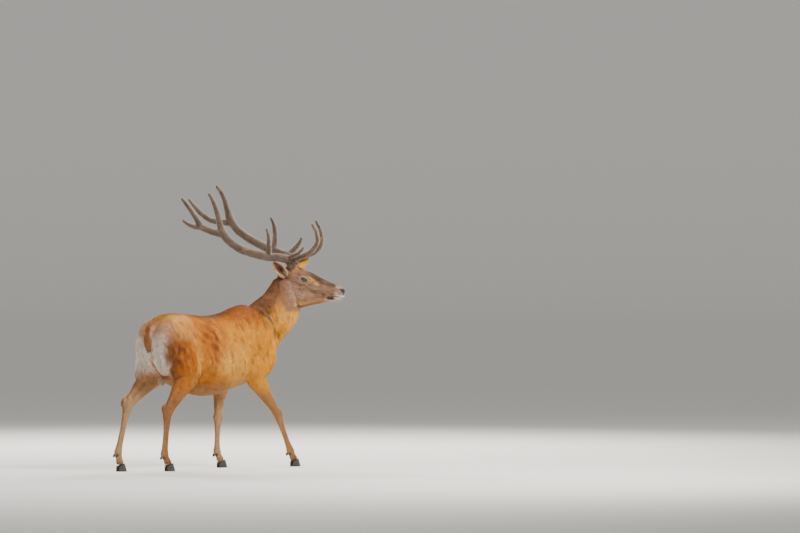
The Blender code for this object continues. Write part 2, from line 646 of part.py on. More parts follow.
def flesh_nodes():
    """The flesh in its named pieces."""
    flesh = flesh_mesh()
    matrix = head_matrix()
    anchors = {"trunk": Vector(TRUNK_INSIDE), "neck": Vector(NECK_INSIDE), "head": matrix @ Vector(HEAD_INSIDE)}
    middle, across, radius = HEAD_CUT
    cut_by(flesh, disc(matrix @ Vector(middle), matrix.to_3x3() @ Vector(across), radius))
    cut_by(flesh, disc(*NECK_CUT))
    for leg, (sections, joints) in LEGS.items():
        cuts = LEG_CUTS[leg.split("_")[0]]
        for bone, share, radius, piece in cuts:
            middle, across = along_leg(joints, bone, share)
            cut_by(flesh, disc(middle, across, radius))
            anchors[f"{leg}_{piece}"] = Vector(along_leg(joints, bone, 0.6)[0])
        cut_by(flesh, below_coronet(*hoof_middle(joints)))
    nodes = {}
    for mesh in pieces_of(flesh)[:len(anchors)]:
        points = np.array([v.co[:] for v in mesh.vertices])
        middle = Vector((points.max(0) + points.min(0)) / 2)
        name = min(anchors, key=lambda name: (anchors[name] - middle).length)
        nodes[name] = add(name, mesh)
        del anchors[name]
    remove(flesh)
    return nodes


def antler_nodes(head):
    """Each antler's beam in two pieces, and its tines, each cut where it meets what it grows from."""
    for side, rows in BEAMS.items():
        rows = np.array(mirrored(rows, side))
        line = curve_through(rows, 2)
        rings = tube_rings(line, BEAM_AROUND)
        split = 2 * (LOW_KNOTS - 1)
        top = rings[split:].copy()
        top[0] += unit(line[split + 1, :3] - line[split - 1, :3]) * COAT_GAP
        made = {}
        for part, mesh in (("beam_low", loft(rings[:split + 1])), ("beam_top", loft(top))):
            mesh.transform(head_matrix())
            neighbours = [head] if part == "beam_low" else []
            made[part] = fit_against(f"antler_{side}_{part}", mesh, neighbours)
        for tine, points in TINES[side]:
            mesh = loft(tube_rings(curve_through(mirrored(points, side), 2), TINE_AROUND))
            mesh.transform(head_matrix())
            made[tine] = fit_against(f"antler_{side}_{tine}", mesh, [head, *made.values()])


def eye_nodes(head):
    """The eyeballs, and their sockets cut in the head."""
    for side, flip in (("right", -1.0), ("left", 1.0)):
        at = head_matrix() @ Vector((EYE_AT[0], EYE_AT[1] * flip, EYE_AT[2]))
        eye = add(f"eye_{side}", ellipsoid(at, (EYE_RADIUS,) * 3, 0.0, 14, 9))
        cutter = grown(eye)
        cut(head, cutter)
        remove(cutter)
    head.data = pieces_of(head)[0]


def foot_nodes(leg, joints, neighbours):
    """The two claws and two dewclaws of a foot."""
    middle_x, middle_y = hoof_middle(joints)
    fetlock = np.array(joints[3])
    down = unit(np.array(joints[4]) - fetlock)
    behind = np.cross((0.0, 1.0, 0.0), down)
    for name, side in (("left", 1.0), ("right", -1.0)):
        add(f"claw_{leg}_{name}", claw_mesh(middle_x, middle_y, side))
        at = fetlock + DEWCLAW_DOWN * down + DEWCLAW_BACK * behind + np.array((0.0, DEWCLAW_OUT * side, 0.0))
        mesh = ellipsoid(Vector(at), DEWCLAW_SIZES, DEWCLAW_TURN, 8, 6)
        fit_against(f"dewclaw_{leg}_{name}", mesh, neighbours)


def main():
    for obj in list(bpy.data.objects):
        remove(obj)
    nodes = flesh_nodes()
    head = nodes["head"]
    eye_nodes(head)
    for side in EARS:
        mesh = ear_mesh(side, 1, EAR_AROUND)
        mesh.transform(head_matrix())
        fit_against(f"ear_{side}", mesh, [head, nodes["neck"]])
    antler_nodes(head)
    fit_against("tail", bent_loft(TAIL, (1.0, 0.0, 0.3), TAIL_AROUND, 1), [nodes["trunk"]])
    for leg, (sections, joints) in LEGS.items():
        foot_nodes(leg, joints, [nodes[leg + "_pastern"], nodes[leg + "_cannon"]])
    stag = bpy.data.objects.new("red_deer_stag", None)
    stag.location = -BOX_MIDDLE
    parts = bpy.data.collections.new("red_deer_stag")
    bpy.context.scene.collection.children.link(parts)
    for obj in list(bpy.context.scene.collection.objects):
        bpy.context.scene.collection.objects.unlink(obj)
        parts.objects.link(obj)
        obj.parent = stag
    finish_nodes(parts.objects)
    parts.objects.link(stag)


main()
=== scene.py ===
"""Red deer stag in summer coat, with its antlers in velvet.

Skin, coat, antlers, ears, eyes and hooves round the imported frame. Lengths are in metres. Work is done in
the animal's own frame: X forward from the middle of the body, Y to its left, Z up from the floor.
"""

import math

import bmesh
import bpy
import numpy as np
from mathutils import Matrix, Vector


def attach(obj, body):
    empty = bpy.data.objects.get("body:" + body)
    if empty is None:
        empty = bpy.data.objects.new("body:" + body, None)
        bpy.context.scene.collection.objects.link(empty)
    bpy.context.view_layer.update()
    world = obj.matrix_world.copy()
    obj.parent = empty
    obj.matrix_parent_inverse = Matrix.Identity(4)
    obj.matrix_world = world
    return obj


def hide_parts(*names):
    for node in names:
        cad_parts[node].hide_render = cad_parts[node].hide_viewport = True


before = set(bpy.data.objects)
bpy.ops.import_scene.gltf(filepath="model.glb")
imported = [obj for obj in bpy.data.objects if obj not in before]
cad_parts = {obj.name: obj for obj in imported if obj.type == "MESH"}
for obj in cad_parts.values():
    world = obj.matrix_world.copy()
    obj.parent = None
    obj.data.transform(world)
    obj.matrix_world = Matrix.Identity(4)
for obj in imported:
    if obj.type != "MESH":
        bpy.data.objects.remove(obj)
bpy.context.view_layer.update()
DICE = np.random.default_rng(7)
CHANCES = DICE.random(4096)                     # what noise() looks up, by a number mixed from these
MIX_X, MIX_Y, MIX_Z, MIX_SEED = 73856093, 19349663, 83492791, 2654435

# ---------------------------------------------------------------- measures
BOX_MIDDLE = (0.0708, 0.1387, 0.0)      # where the floor lies under the middle of the whole box
AROUND, STEPS = 32, 5                   # points round a section, and rings between two stations

HEAD_AT = Vector((0.712, -0.100, 1.378))    # middle of the skull behind the eyes
HEAD_TURNS = (("Z", -49.0), ("Y", 12.0), ("X", 7.0))    # degrees: turned right, nose down, left side up

# Trunk: x, top, widest level, bottom, half width, fullness above and below.
TRUNK = [
    (-0.630, 0.970, 0.92, 0.86, 0.080, 2.3, 2.3),
    (-0.612, 1.035, 0.93, 0.81, 0.143, 2.5, 2.3),
    (-0.570, 1.090, 0.94, 0.75, 0.165, 2.5, 2.2),
    (-0.490, 1.142, 0.95, 0.67, 0.176, 2.4, 2.1),
    (-0.400, 1.160, 0.95, 0.63, 0.180, 2.2, 2.1),
    (-0.300, 1.156, 0.91, 0.588, 0.182, 2.0, 2.1),
    (-0.200, 1.145, 0.86, 0.556, 0.190, 1.9, 2.1),
    (-0.100, 1.138, 0.82, 0.541, 0.200, 1.85, 2.1),
    (0.000, 1.141, 0.80, 0.546, 0.203, 1.8, 2.1),
    (0.100, 1.158, 0.80, 0.566, 0.197, 1.75, 2.1),
    (0.190, 1.190, 0.80, 0.590, 0.186, 1.7, 2.0),
    (0.280, 1.213, 0.82, 0.612, 0.176, 1.65, 2.0),
    (0.360, 1.211, 0.84, 0.634, 0.166, 1.65, 2.0),
    (0.440, 1.180, 0.86, 0.646, 0.154, 1.8, 2.0),
    (0.515, 1.115, 0.88, 0.657, 0.134, 2.0, 2.0),
    (0.565, 1.050, 0.88, 0.696, 0.112, 2.0, 2.0),
    (0.600, 0.970, 0.87, 0.762, 0.070, 2.0, 2.0),
]

# Neck: middle, reach to the throat, reach to the nape, half width.
NECK = [
    (0.340, 0.000, 0.930, 0.220, 0.215, 0.128),
    (0.465, -0.003, 1.015, 0.224, 0.210, 0.130),
    (0.545, -0.018, 1.090, 0.208, 0.184, 0.121),
    (0.638, -0.045, 1.188, 0.202, 0.164, 0.110),
    (0.690, -0.072, 1.290, 0.160, 0.148, 0.099),
    (0.714, -0.090, 1.368, 0.134, 0.127, 0.088),
    (0.722, -0.099, 1.415, 0.085, 0.082, 0.066),
]

# Head, in its own frame: x, top, widest level, bottom, half width, fullness above and below.
HEAD = [
    (-0.095, 0.060, 0.00, -0.085, 0.050, 2.0, 2.0),
    (-0.060, 0.100, 0.00, -0.146, 0.070, 2.1, 1.9),
    (-0.020, 0.122, 0.01, -0.178, 0.079, 2.2, 1.8),
    (0.030, 0.124, 0.02, -0.194, 0.083, 2.3, 1.75),
    (0.070, 0.117, 0.02, -0.193, 0.083, 2.3, 1.75),
    (0.110, 0.110, 0.01, -0.181, 0.078, 2.4, 1.8),
    (0.150, 0.103, 0.00, -0.160, 0.068, 2.4, 1.8),
    (0.190, 0.093, 0.00, -0.140, 0.057, 2.3, 1.8),
    (0.240, 0.079, 0.00, -0.118, 0.048, 2.2, 1.9),
    (0.290, 0.066, 0.00, -0.097, 0.0435, 2.2, 2.0),
    (0.335, 0.056, -0.003, -0.077, 0.0415, 2.3, 2.1),
    (0.372, 0.049, -0.006, -0.070, 0.0405, 2.4, 2.3),
    (0.400, 0.041, -0.008, -0.064, 0.0365, 2.4, 2.4),
    (0.418, 0.026, -0.008, -0.043, 0.0250, 2.2, 2.2),
]

# Leg sections: bone, how far along it, reach forward, back and to the side.
FORE_SECTIONS = [
    (0, -0.15, 0.050, 0.060, 0.030),
    (0, 0.10, 0.085, 0.115, 0.050),
    (0, 0.50, 0.085, 0.130, 0.056),
    (0, 0.85, 0.082, 0.100, 0.050),
    (1, 0.05, 0.100, 0.078, 0.046),
    (1, 0.30, 0.078, 0.060, 0.042),
    (1, 0.60, 0.046, 0.045, 0.034),
    (1, 0.84, 0.033, 0.034, 0.029),
    (1, 0.97, 0.036, 0.034, 0.032),
    (2, 0.10, 0.033, 0.032, 0.029),
    (2, 0.28, 0.023, 0.026, 0.022),
    (2, 0.60, 0.019, 0.023, 0.019),
    (2, 0.86, 0.022, 0.026, 0.023),
    (3, 0.02, 0.027, 0.031, 0.028),
    (3, 0.45, 0.021, 0.025, 0.025),
    (3, 0.85, 0.024, 0.027, 0.029),
    (3, 1.00, 0.020, 0.022, 0.024),
]
HIND_SECTIONS = [
    (0, -0.25, 0.080, 0.085, 0.050),
    (0, 0.05, 0.135, 0.150, 0.082),
    (0, 0.45, 0.142, 0.190, 0.092),
    (0, 0.80, 0.105, 0.185, 0.080),
    (1, 0.05, 0.080, 0.150, 0.066),
    (1, 0.28, 0.066, 0.110, 0.052),
    (1, 0.52, 0.052, 0.084, 0.038),
    (1, 0.76, 0.040, 0.064, 0.029),
    (1, 0.93, 0.038, 0.056, 0.029),
    (2, 0.04, 0.034, 0.046, 0.030),
    (2, 0.22, 0.027, 0.032, 0.024),
    (2, 0.50, 0.022, 0.025, 0.020),
    (2, 0.84, 0.023, 0.027, 0.024),
    (3, 0.02, 0.028, 0.032, 0.029),
    (3, 0.45, 0.022, 0.026, 0.026),
    (3, 0.85, 0.025, 0.028, 0.030),
    (3, 1.00, 0.021, 0.023, 0.025),
]
# Joints from the shoulder or hip down to the top of the hoof, and where the toes point.
LEGS = {
    "fore_right": (FORE_SECTIONS, [(0.490, -0.105, 0.860), (0.325, -0.125, 0.668), (0.568, -0.112, 0.405),
                                   (0.706, -0.110, 0.122), (0.745, -0.110, 0.052)]),
    "fore_left": (FORE_SECTIONS, [(0.430, 0.105, 0.850), (0.212, 0.125, 0.662), (0.176, 0.112, 0.372),
                                  (0.166, 0.110, 0.122), (0.204, 0.110, 0.052)]),
    "hind_right": (HIND_SECTIONS, [(-0.420, -0.088, 0.960), (-0.318, -0.130, 0.705), (-0.521, -0.105, 0.430),
                                   (-0.548, -0.100, 0.126), (-0.508, -0.100, 0.052)]),
    "hind_left": (HIND_SECTIONS, [(-0.435, 0.088, 0.960), (-0.440, 0.130, 0.700), (-0.722, 0.108, 0.485),
                                  (-0.822, 0.104, 0.140), (-0.802, 0.104, 0.054)]),
}

# Rounded masses laid over the lofts: middle, half sizes, degrees turned about Y.
MASSES = [
    ((0.395, 0.118, 0.940), (0.105, 0.062, 0.210), 22.0),      # shoulder blades
    ((0.395, -0.118, 0.940), (0.105, 0.062, 0.210), 22.0),
    ((-0.530, 0.092, 0.900), (0.108, 0.088, 0.200), 0.0),      # buttocks
    ((-0.530, -0.092, 0.900), (0.108, 0.088, 0.200), 0.0),
    ((-0.560, 0.120, 0.740), (0.075, 0.050, 0.110), 10.0),     # back of the left thigh
    ((-0.480, 0.000, 0.676), (0.040, 0.034, 0.046), 0.0),      # scrotum
    ((-0.767, 0.108, 0.510), (0.018, 0.018, 0.038), 20.0),     # points of the hocks
    ((-0.560, -0.105, 0.456), (0.018, 0.018, 0.038), 6.0),
]

# Tail: middle, reach forward, back and to the side.
TAIL = [
    (-0.560, -0.002, 1.094, 0.030, 0.026, 0.034),
    (-0.612, -0.010, 1.046, 0.026, 0.026, 0.041),
    (-0.642, -0.020, 0.990, 0.022, 0.021, 0.040),
    (-0.652, -0.029, 0.940, 0.018, 0.018, 0.034),
    (-0.652, -0.035, 0.903, 0.011, 0.011, 0.021),
    (-0.649, -0.037, 0.882, 0.004, 0.004, 0.008),
]

# Antlers in velvet, in the head's frame with y outward: x, y, z, radius.
BEAMS = {
    "right": [(0.004, 0.043, 0.105, 0.026), (-0.012, 0.046, 0.146, 0.034), (-0.052, 0.068, 0.174, 0.031),
              (-0.120, 0.120, 0.180, 0.030), (-0.195, 0.180, 0.178, 0.031), (-0.290, 0.250, 0.192, 0.030),
              (-0.375, 0.300, 0.210, 0.029), (-0.462, 0.335, 0.252, 0.028), (-0.525, 0.350, 0.306, 0.029),
              (-0.563, 0.345, 0.370, 0.023), (-0.595, 0.330, 0.435, 0.019), (-0.640, 0.305, 0.505, 0.015),
              (-0.690, 0.280, 0.560, 0.0105)],
    "left": [(0.004, 0.043, 0.105, 0.026), (-0.010, 0.046, 0.146, 0.034), (-0.052, 0.070, 0.176, 0.031),
             (-0.125, 0.120, 0.178, 0.030), (-0.200, 0.172, 0.180, 0.031), (-0.300, 0.235, 0.192, 0.030),
             (-0.400, 0.285, 0.214, 0.029), (-0.500, 0.328, 0.252, 0.028), (-0.565, 0.345, 0.308, 0.029),
             (-0.598, 0.340, 0.368, 0.023), (-0.625, 0.325, 0.430, 0.019), (-0.660, 0.303, 0.492, 0.015),
             (-0.708, 0.280, 0.546, 0.0105)],
}
# Tines, each starting inside the one it grows from.
TINES = {
    "right": [
        ("brow", [
            (-0.018, 0.050, 0.165, 0.020), (0.028, 0.066, 0.200, 0.022), (0.075, 0.082, 0.232, 0.020),
            (0.127, 0.100, 0.285, 0.018), (0.151, 0.110, 0.348, 0.016), (0.138, 0.115, 0.414, 0.013),
            (0.092, 0.110, 0.476, 0.0095)]),
        ("bez", [
            (-0.052, 0.070, 0.178, 0.016), (-0.018, 0.090, 0.205, 0.018), (0.018, 0.112, 0.232, 0.015),
            (0.045, 0.126, 0.262, 0.012), (0.061, 0.135, 0.292, 0.0095)]),
        ("trez", [
            (-0.176, 0.168, 0.180, 0.018), (-0.180, 0.185, 0.225, 0.019), (-0.190, 0.205, 0.280, 0.016),
            (-0.200, 0.222, 0.335, 0.013), (-0.223, 0.230, 0.386, 0.0095)]),
        ("crown_back", [
            (-0.510, 0.348, 0.292, 0.021), (-0.560, 0.356, 0.300, 0.024), (-0.625, 0.366, 0.308, 0.023),
            (-0.690, 0.375, 0.325, 0.023), (-0.738, 0.378, 0.375, 0.018), (-0.805, 0.364, 0.438, 0.014),
            (-0.875, 0.338, 0.492, 0.0095)]),
        ("crown_side", [
            (-0.680, 0.374, 0.318, 0.017), (-0.735, 0.394, 0.318, 0.017), (-0.782, 0.412, 0.328, 0.013),
            (-0.824, 0.430, 0.350, 0.0095)]),
    ],
    "left": [
        ("brow", [
            (-0.016, 0.050, 0.165, 0.020), (0.030, 0.064, 0.192, 0.022), (0.085, 0.076, 0.218, 0.020),
            (0.132, 0.088, 0.250, 0.018), (0.162, 0.102, 0.302, 0.017), (0.161, 0.111, 0.350, 0.015),
            (0.138, 0.115, 0.410, 0.012), (0.093, 0.110, 0.472, 0.0095)]),
        ("bez", [
            (-0.060, 0.074, 0.178, 0.018), (-0.040, 0.098, 0.212, 0.020), (-0.018, 0.125, 0.248, 0.018),
            (-0.002, 0.145, 0.284, 0.014), (0.006, 0.156, 0.318, 0.0095)]),
        ("trez", [
            (-0.182, 0.162, 0.180, 0.020), (-0.188, 0.178, 0.240, 0.021), (-0.200, 0.200, 0.300, 0.018),
            (-0.224, 0.220, 0.360, 0.014), (-0.257, 0.230, 0.408, 0.0095)]),
        ("crown_back", [
            (-0.555, 0.342, 0.292, 0.020), (-0.605, 0.352, 0.282, 0.022), (-0.663, 0.364, 0.274, 0.020),
            (-0.726, 0.375, 0.276, 0.018), (-0.800, 0.377, 0.308, 0.016), (-0.865, 0.362, 0.358, 0.012),
            (-0.903, 0.346, 0.396, 0.0095)]),
    ],
}

# Ears in the head's frame: root, tip, the way the hollow faces.
EARS = {
    "right": ((-0.038, -0.070, 0.052), (-0.126, -0.172, 0.142), (0.50, -0.78, -0.25)),
    "left": ((-0.008, 0.068, 0.056), (0.082, 0.135, 0.205), (0.30, 0.95, -0.20)),
}
# Share of the ear's length, radius of its curl, half angle of the curl.
EAR_CURL = [(0.00, 0.019, 150), (0.12, 0.025, 135), (0.25, 0.032, 108), (0.42, 0.040, 82), (0.60, 0.042, 68),
            (0.78, 0.038, 56), (0.90, 0.030, 46), (0.97, 0.021, 38), (1.00, 0.008, 32)]
EAR_WALL = 0.006

PEDICLE = [(0.010, 0.040, 0.060, 0.024), (-0.008, 0.045, 0.136, 0.025)]     # the bone an antler stands on
SIDES = {"left": 1, "right": -1}


# ---------------------------------------------------------------- forms
def unit(v):
    return v / np.linalg.norm(v, axis=-1, keepdims=True)


def square_to(v, axis):
    """The unit direction nearest to v that stands square to the axis."""
    return unit(v - axis * (v @ axis))


def on_side(values, side):
    """A place or direction of the left side, mirrored where side is -1."""
    return np.array(values) * (1, side, 1)


def curve_through(rows, steps=STEPS):
    """The rows as knots of a Catmull-Rom curve, with this many steps between two knots."""
    knots = np.array(rows, float)
    ends = np.vstack([2 * knots[0] - knots[1], knots, 2 * knots[-1] - knots[-2]])
    found = []
    for a, b, c, d in zip(ends, ends[1:], ends[2:], ends[3:]):
        for s in np.linspace(0, 1, steps, endpoint=False):
            bend = (2 * a - 5 * b + 4 * c - d) * s**2 + (3 * b - a - 3 * c + d) * s**3
            found.append(b + 0.5 * ((c - a) * s + bend))
    return np.array(found + [knots[-1]])


def angles_round(count):
    return np.linspace(0, 2 * math.pi, count, endpoint=False)


def section(middle, up, side, top, bottom, width, upper=2.0, lower=2.0):
    """A closed ring of points whose fullness is 2 for an ellipse and more for a squarer shape."""
    c, s = np.cos(angles_round(AROUND)), np.sin(angles_round(AROUND))
    power = np.where(s >= 0, 2 / upper, 2 / lower)
    across = width * np.sign(c) * np.abs(c) ** power
    high = np.where(s >= 0, top, bottom) * np.sign(s) * np.abs(s) ** power
    return middle + across[:, None] * side + high[:, None] * up


def mesh_of(points, faces):
    """A mesh with its faces turned outward."""
    mesh = bpy.data.meshes.new("form")
    mesh.from_pydata(np.asarray(points).tolist(), [], faces)
    whole = bmesh.new()
    whole.from_mesh(mesh)
    bmesh.ops.recalc_face_normals(whole, faces=whole.faces)
    whole.to_mesh(mesh)
    whole.free()
    return mesh


def joined(forms):
    """The forms as one mesh, laid together as they are."""
    whole = bmesh.new()
    for form in forms:
        whole.from_mesh(form)
    mesh = bpy.data.meshes.new("joined")
    whole.to_mesh(mesh)
    whole.free()
    return mesh


def bands(count, around):
    """The faces between this many rings of points."""
    faces = []
    for i in range(count - 1):
        for j in range(around):
            k = (j + 1) % around
            faces.append((i * around + j, i * around + k, (i + 1) * around + k, (i + 1) * around + j))
    return faces


def loft(rings):
    """A closed mesh through the rings, with a point in the middle of each end."""
    rings = np.array(rings)
    count, around = rings.shape[:2]
    points = np.vstack([rings.reshape(-1, 3), rings[0].mean(0), rings[-1].mean(0)])
    faces = bands(count, around)
    for row, middle in ((0, count * around), (count - 1, count * around + 1)):
        for j in range(around):
            faces.append((row * around + j, row * around + (j + 1) % around, middle))
    return mesh_of(points, faces)


def level_loft(stations):
    """A loft whose sections stand upright across X, as in the trunk and the head."""
    rings = []
    up, side = np.array((0, 0, 1.0)), np.array((0, 1.0, 0))
    for x, top, level, bottom, width, upper, lower in curve_through(stations):
        middle = np.array((x, 0, level))
        rings.append(section(middle, up, side, top - level, level - bottom, width, upper, lower))
    return loft(rings)


def bent_loft(stations, forward):
    """A loft square to its own bent middle line. Rows: the middle, reach forward, back and to the side."""
    rows = curve_through(stations)
    along = unit(np.gradient(rows[:, :3], axis=0))
    side = unit(np.cross(along, forward))
    front = np.cross(side, along)
    return loft([section(r[:3], f, s, r[3], r[4], r[5]) for r, f, s in zip(rows, front, side)])


def leg_stations(sections, joints):
    """Rows for bent_loft from a leg's sections and joints."""
    joints = np.array(joints)
    rows = []
    for bone, share, ahead, behind, width in sections:
        middle = joints[bone] + share * (joints[bone + 1] - joints[bone])
        rows.append((*middle, ahead, behind, width))
    return rows


def ellipsoid(middle, sizes, turn, around=28, high=18):
    """A ball stretched to these half sizes and turned by these degrees about Y."""
    ball = bmesh.new()
    bmesh.ops.create_uvsphere(ball, u_segments=around, v_segments=high, radius=1.0)
    leaning = Matrix.Rotation(math.radians(turn), 4, "Y")
    place = Matrix.Translation(middle) @ leaning @ Matrix.Diagonal((*sizes, 1))
    bmesh.ops.transform(ball, matrix=place, verts=ball.verts)
    mesh = bpy.data.meshes.new("mass")
    ball.to_mesh(mesh)
    ball.free()
    return mesh


def tube_rings(rows, around):
    """Rings of points round a line of x, y, z, radius, turning as little as they can on the way."""
    along = unit(np.gradient(rows[:, :3], axis=0))
    ups = [unit(np.cross(along[0], (0.31, 0.17, 0.93)))]
    for step in along[1:]:
        ups.append(square_to(ups[-1], step))
    ups = np.array(ups)
    angle = angles_round(around)[:, None]
    rings = []
    for row, up, side in zip(rows, ups, np.cross(along, ups)):
        rings.append(row[:3] + row[3] * (np.cos(angle) * up + np.sin(angle) * side))
    return np.array(rings)


def outward(rows, side):
    """Rows of x, y outward, z, radius as places in the head's frame."""
    return np.array(rows) * (1, SIDES[side], 1, 1)


def head_matrix():
    """From the head's frame, X to the nose, Y to its left and Z up, to the animal's frame."""
    place = Matrix.Translation(HEAD_AT)
    for axis, degrees in HEAD_TURNS:
        place = place @ Matrix.Rotation(math.radians(degrees), 4, axis)
    return place


HEAD_PLACE = head_matrix()
HEAD_OUT, HEAD_IN = np.array(HEAD_PLACE), np.array(HEAD_PLACE.inverted())


def in_head(points):
    return points @ HEAD_IN[:3, :3].T + HEAD_IN[:3, 3]


def out_of_head(points):
    return np.asarray(points, float) @ HEAD_OUT[:3, :3].T + HEAD_OUT[:3, 3]


# ---------------------------------------------------------------- fields: a number or colour at each point
FAR_OFF = 9.0       # farther than any point of the animal


def fade(value, low, high):
    """0 below low, 1 above high, smooth between. With high under low it runs the other way."""
    t = np.clip((value - low) / (high - low), 0, 1)
    return t * t * (3 - 2 * t)


def bell(value, width):
    """1 where the value is 0, falling to 0 on both sides."""
    return np.exp(-((value / width) ** 2))


def blend(value, other, share):
    """Numbers or rows moved toward others by a share of the way."""
    if np.ndim(value) == 2:
        share = share[:, None]
    return value + (np.asarray(other) - value) * share


def blob(points, middle, sizes):
    """1 in the middle of an ellipsoid, falling smoothly to about 0 at twice its size."""
    return np.exp(-(((points - np.array(middle)) / np.array(sizes)) ** 2).sum(axis=1))


def to_line(points, a, b):
    """Each point's distance to the line from a to b, and how far along the line it is, 0 to 1."""
    a, b = np.asarray(a, float), np.asarray(b, float)
    span = b - a
    share = np.clip((points - a) @ span / max(span @ span, 1e-12), 0, 1)
    return np.linalg.norm(points - a - share[:, None] * span, axis=1), share


def nearest(points, line, radii=None):
    """Each point's distance to a line of points, the nearest stretch's number, and the place along it."""
    best = np.full(len(points), FAR_OFF)
    number = np.zeros(len(points), int)
    along = np.zeros(len(points))
    for i, (a, b) in enumerate(zip(line, line[1:])):
        gap, share = to_line(points, a, b)
        if radii is not None:
            gap = gap - radii[i]
        near = gap < best
        best[near], along[near], number[near] = gap[near], share[near], i
    return best, number, along


def near_line(points, line, reach, soft):
    """1 within reach of a line of points, fading to 0 over the soft distance."""
    return fade(nearest(points, line)[0], reach + soft, reach)


def folded(points):
    """The points, with those of the right side mirrored to the left."""
    return points * (1, 0, 1) + np.abs(points) * (0, 1, 0)


def noise(points, size, seed):
    """Smooth noise from 0 to 1 whose lumps are about this size, which may differ for x, y and z."""
    place = points / np.array(size) + 17.0 * seed
    cell = np.floor(place).astype(np.int64)
    t = place - cell
    t = t * t * (3 - 2 * t)
    total = np.zeros(len(points))
    for corner in range(8):
        step = np.array((corner & 1, corner >> 1 & 1, corner >> 2))
        x, y, z = (cell + step).T
        weight = np.prod(np.where(step, t, 1 - t), axis=1)
        mixed = x * MIX_X ^ y * MIX_Y ^ z * MIX_Z ^ seed * MIX_SEED
        total += weight * CHANCES[mixed & len(CHANCES) - 1]
    return total


# ---------------------------------------------------------------- meshes
SMOOTH_IN, SMOOTH_OUT = 0.5, -0.52      # each step in and a little more out, so that nothing shrinks


def read(items, key, width, kind=float):
    """One property of a mesh's items, this many numbers a row."""
    values = np.empty(len(items) * width, kind)
    items.foreach_get(key, values)
    return values.reshape(-1, width)


def points_of(mesh):
    return read(mesh.vertices, "co", 3)


def normals_of(mesh):
    return read(mesh.vertex_normals, "vector", 3)


def surface_of(mesh):
    """The mesh's points, normals and triangles, and the middle of each triangle."""
    mesh.calc_loop_triangles()
    points, triangles = points_of(mesh), read(mesh.loop_triangles, "vertices", 3, np.int32)
    return points, normals_of(mesh), triangles, points[triangles].mean(1)


def move_to(mesh, points):
    mesh.vertices.foreach_set("co", np.ascontiguousarray(points).ravel())
    mesh.update()


def raise_by(mesh, rise):
    """Moves the mesh's points out along their normals."""
    move_to(mesh, points_of(mesh) + normals_of(mesh) * rise[:, None])


def relax(mesh, rounds, free=1.0):
    """Evens out the mesh without shrinking it, where free isn't 0."""
    points, edges = points_of(mesh), read(mesh.edges, "vertices", 2, np.int64)
    count = np.maximum(np.bincount(edges.ravel(), minlength=len(points)), 1)[:, None]
    free = np.reshape(free, (-1, 1))
    for strength in (SMOOTH_IN, SMOOTH_OUT) * rounds:
        total = np.empty_like(points)
        for axis in range(3):
            there = points[:, axis]
            total[:, axis] = np.bincount(edges[:, 0], there[edges[:, 1]], len(points))
            total[:, axis] += np.bincount(edges[:, 1], there[edges[:, 0]], len(points))
        points = points + strength * (total / count - points) * free
    move_to(mesh, points)


def swell(mesh, features, place):
    """Raises or sinks the mesh round lines: ends a and b, radius, height. Place is where its points lie."""
    rise = np.zeros(len(place))
    for a, b, radius, height in features:
        rise += height * bell(to_line(place, a, b)[0], radius)
    raise_by(mesh, rise)


def both_sides(features):
    """The features of the left side, each followed by its mirror image."""
    found = []
    for a, b, radius, height in features:
        for side in (1, -1):
            found.append((on_side(a, side), on_side(b, side), radius, height))
    return found


def subdivide(mesh, wanted):
    """Halves the edges whose two ends are both wanted."""
    whole = bmesh.new()
    whole.from_mesh(mesh)
    edges = [e for e in whole.edges if wanted[e.verts[0].index] and wanted[e.verts[1].index]]
    bmesh.ops.subdivide_edges(whole, edges=edges, cuts=1, use_grid_fill=True)
    odd = [f for f in whole.faces if len(f.verts) > 4]
    bmesh.ops.triangulate(whole, faces=odd)
    whole.to_mesh(mesh)
    whole.free()


def added(name, data):
    """A new object in the scene."""
    obj = bpy.data.objects.new(name, data)
    bpy.context.scene.collection.objects.link(obj)
    return obj


def grown_together(forms, voxel):
    """One closed mesh of the forms."""
    obj = added("together", joined(forms))
    obj.modifiers.new("grow together", "REMESH").voxel_size = voxel
    graph = bpy.context.evaluated_depsgraph_get()
    made = bpy.data.meshes.new_from_object(obj.evaluated_get(graph))
    bpy.data.objects.remove(obj)
    return made


def paint(mesh, colours, share=0.0):
    """Stores each point's colour, with a share from 0 to 1 beside it."""
    values = np.ones((len(colours), 4), np.float32)
    values[:, :3] = colours
    values[:, 3] = share
    layer = mesh.color_attributes.new("hair", "FLOAT_COLOR", "POINT")
    layer.data.foreach_set("color", values.reshape(-1))


# ---------------------------------------------------------------- skin
SKIN_VOXEL = 0.009
FIRST_RELAX, LATER_RELAX, FACE_RELAX = 6, 5, 2      # rounds of evening out
PEDICLE_AROUND = 24
SOLE_LEVEL = 0.012      # the skin ends this high inside the hooves
# How far the skin lies under the tips of the coat, and how much less on the muzzle than on the head.
BODY_DEPTH, LEG_DEPTH, FOOT_DEPTH, HEAD_DEPTH, MUZZLE_LESS = 0.0048, 0.0026, 0.0015, 0.0024, 0.0013

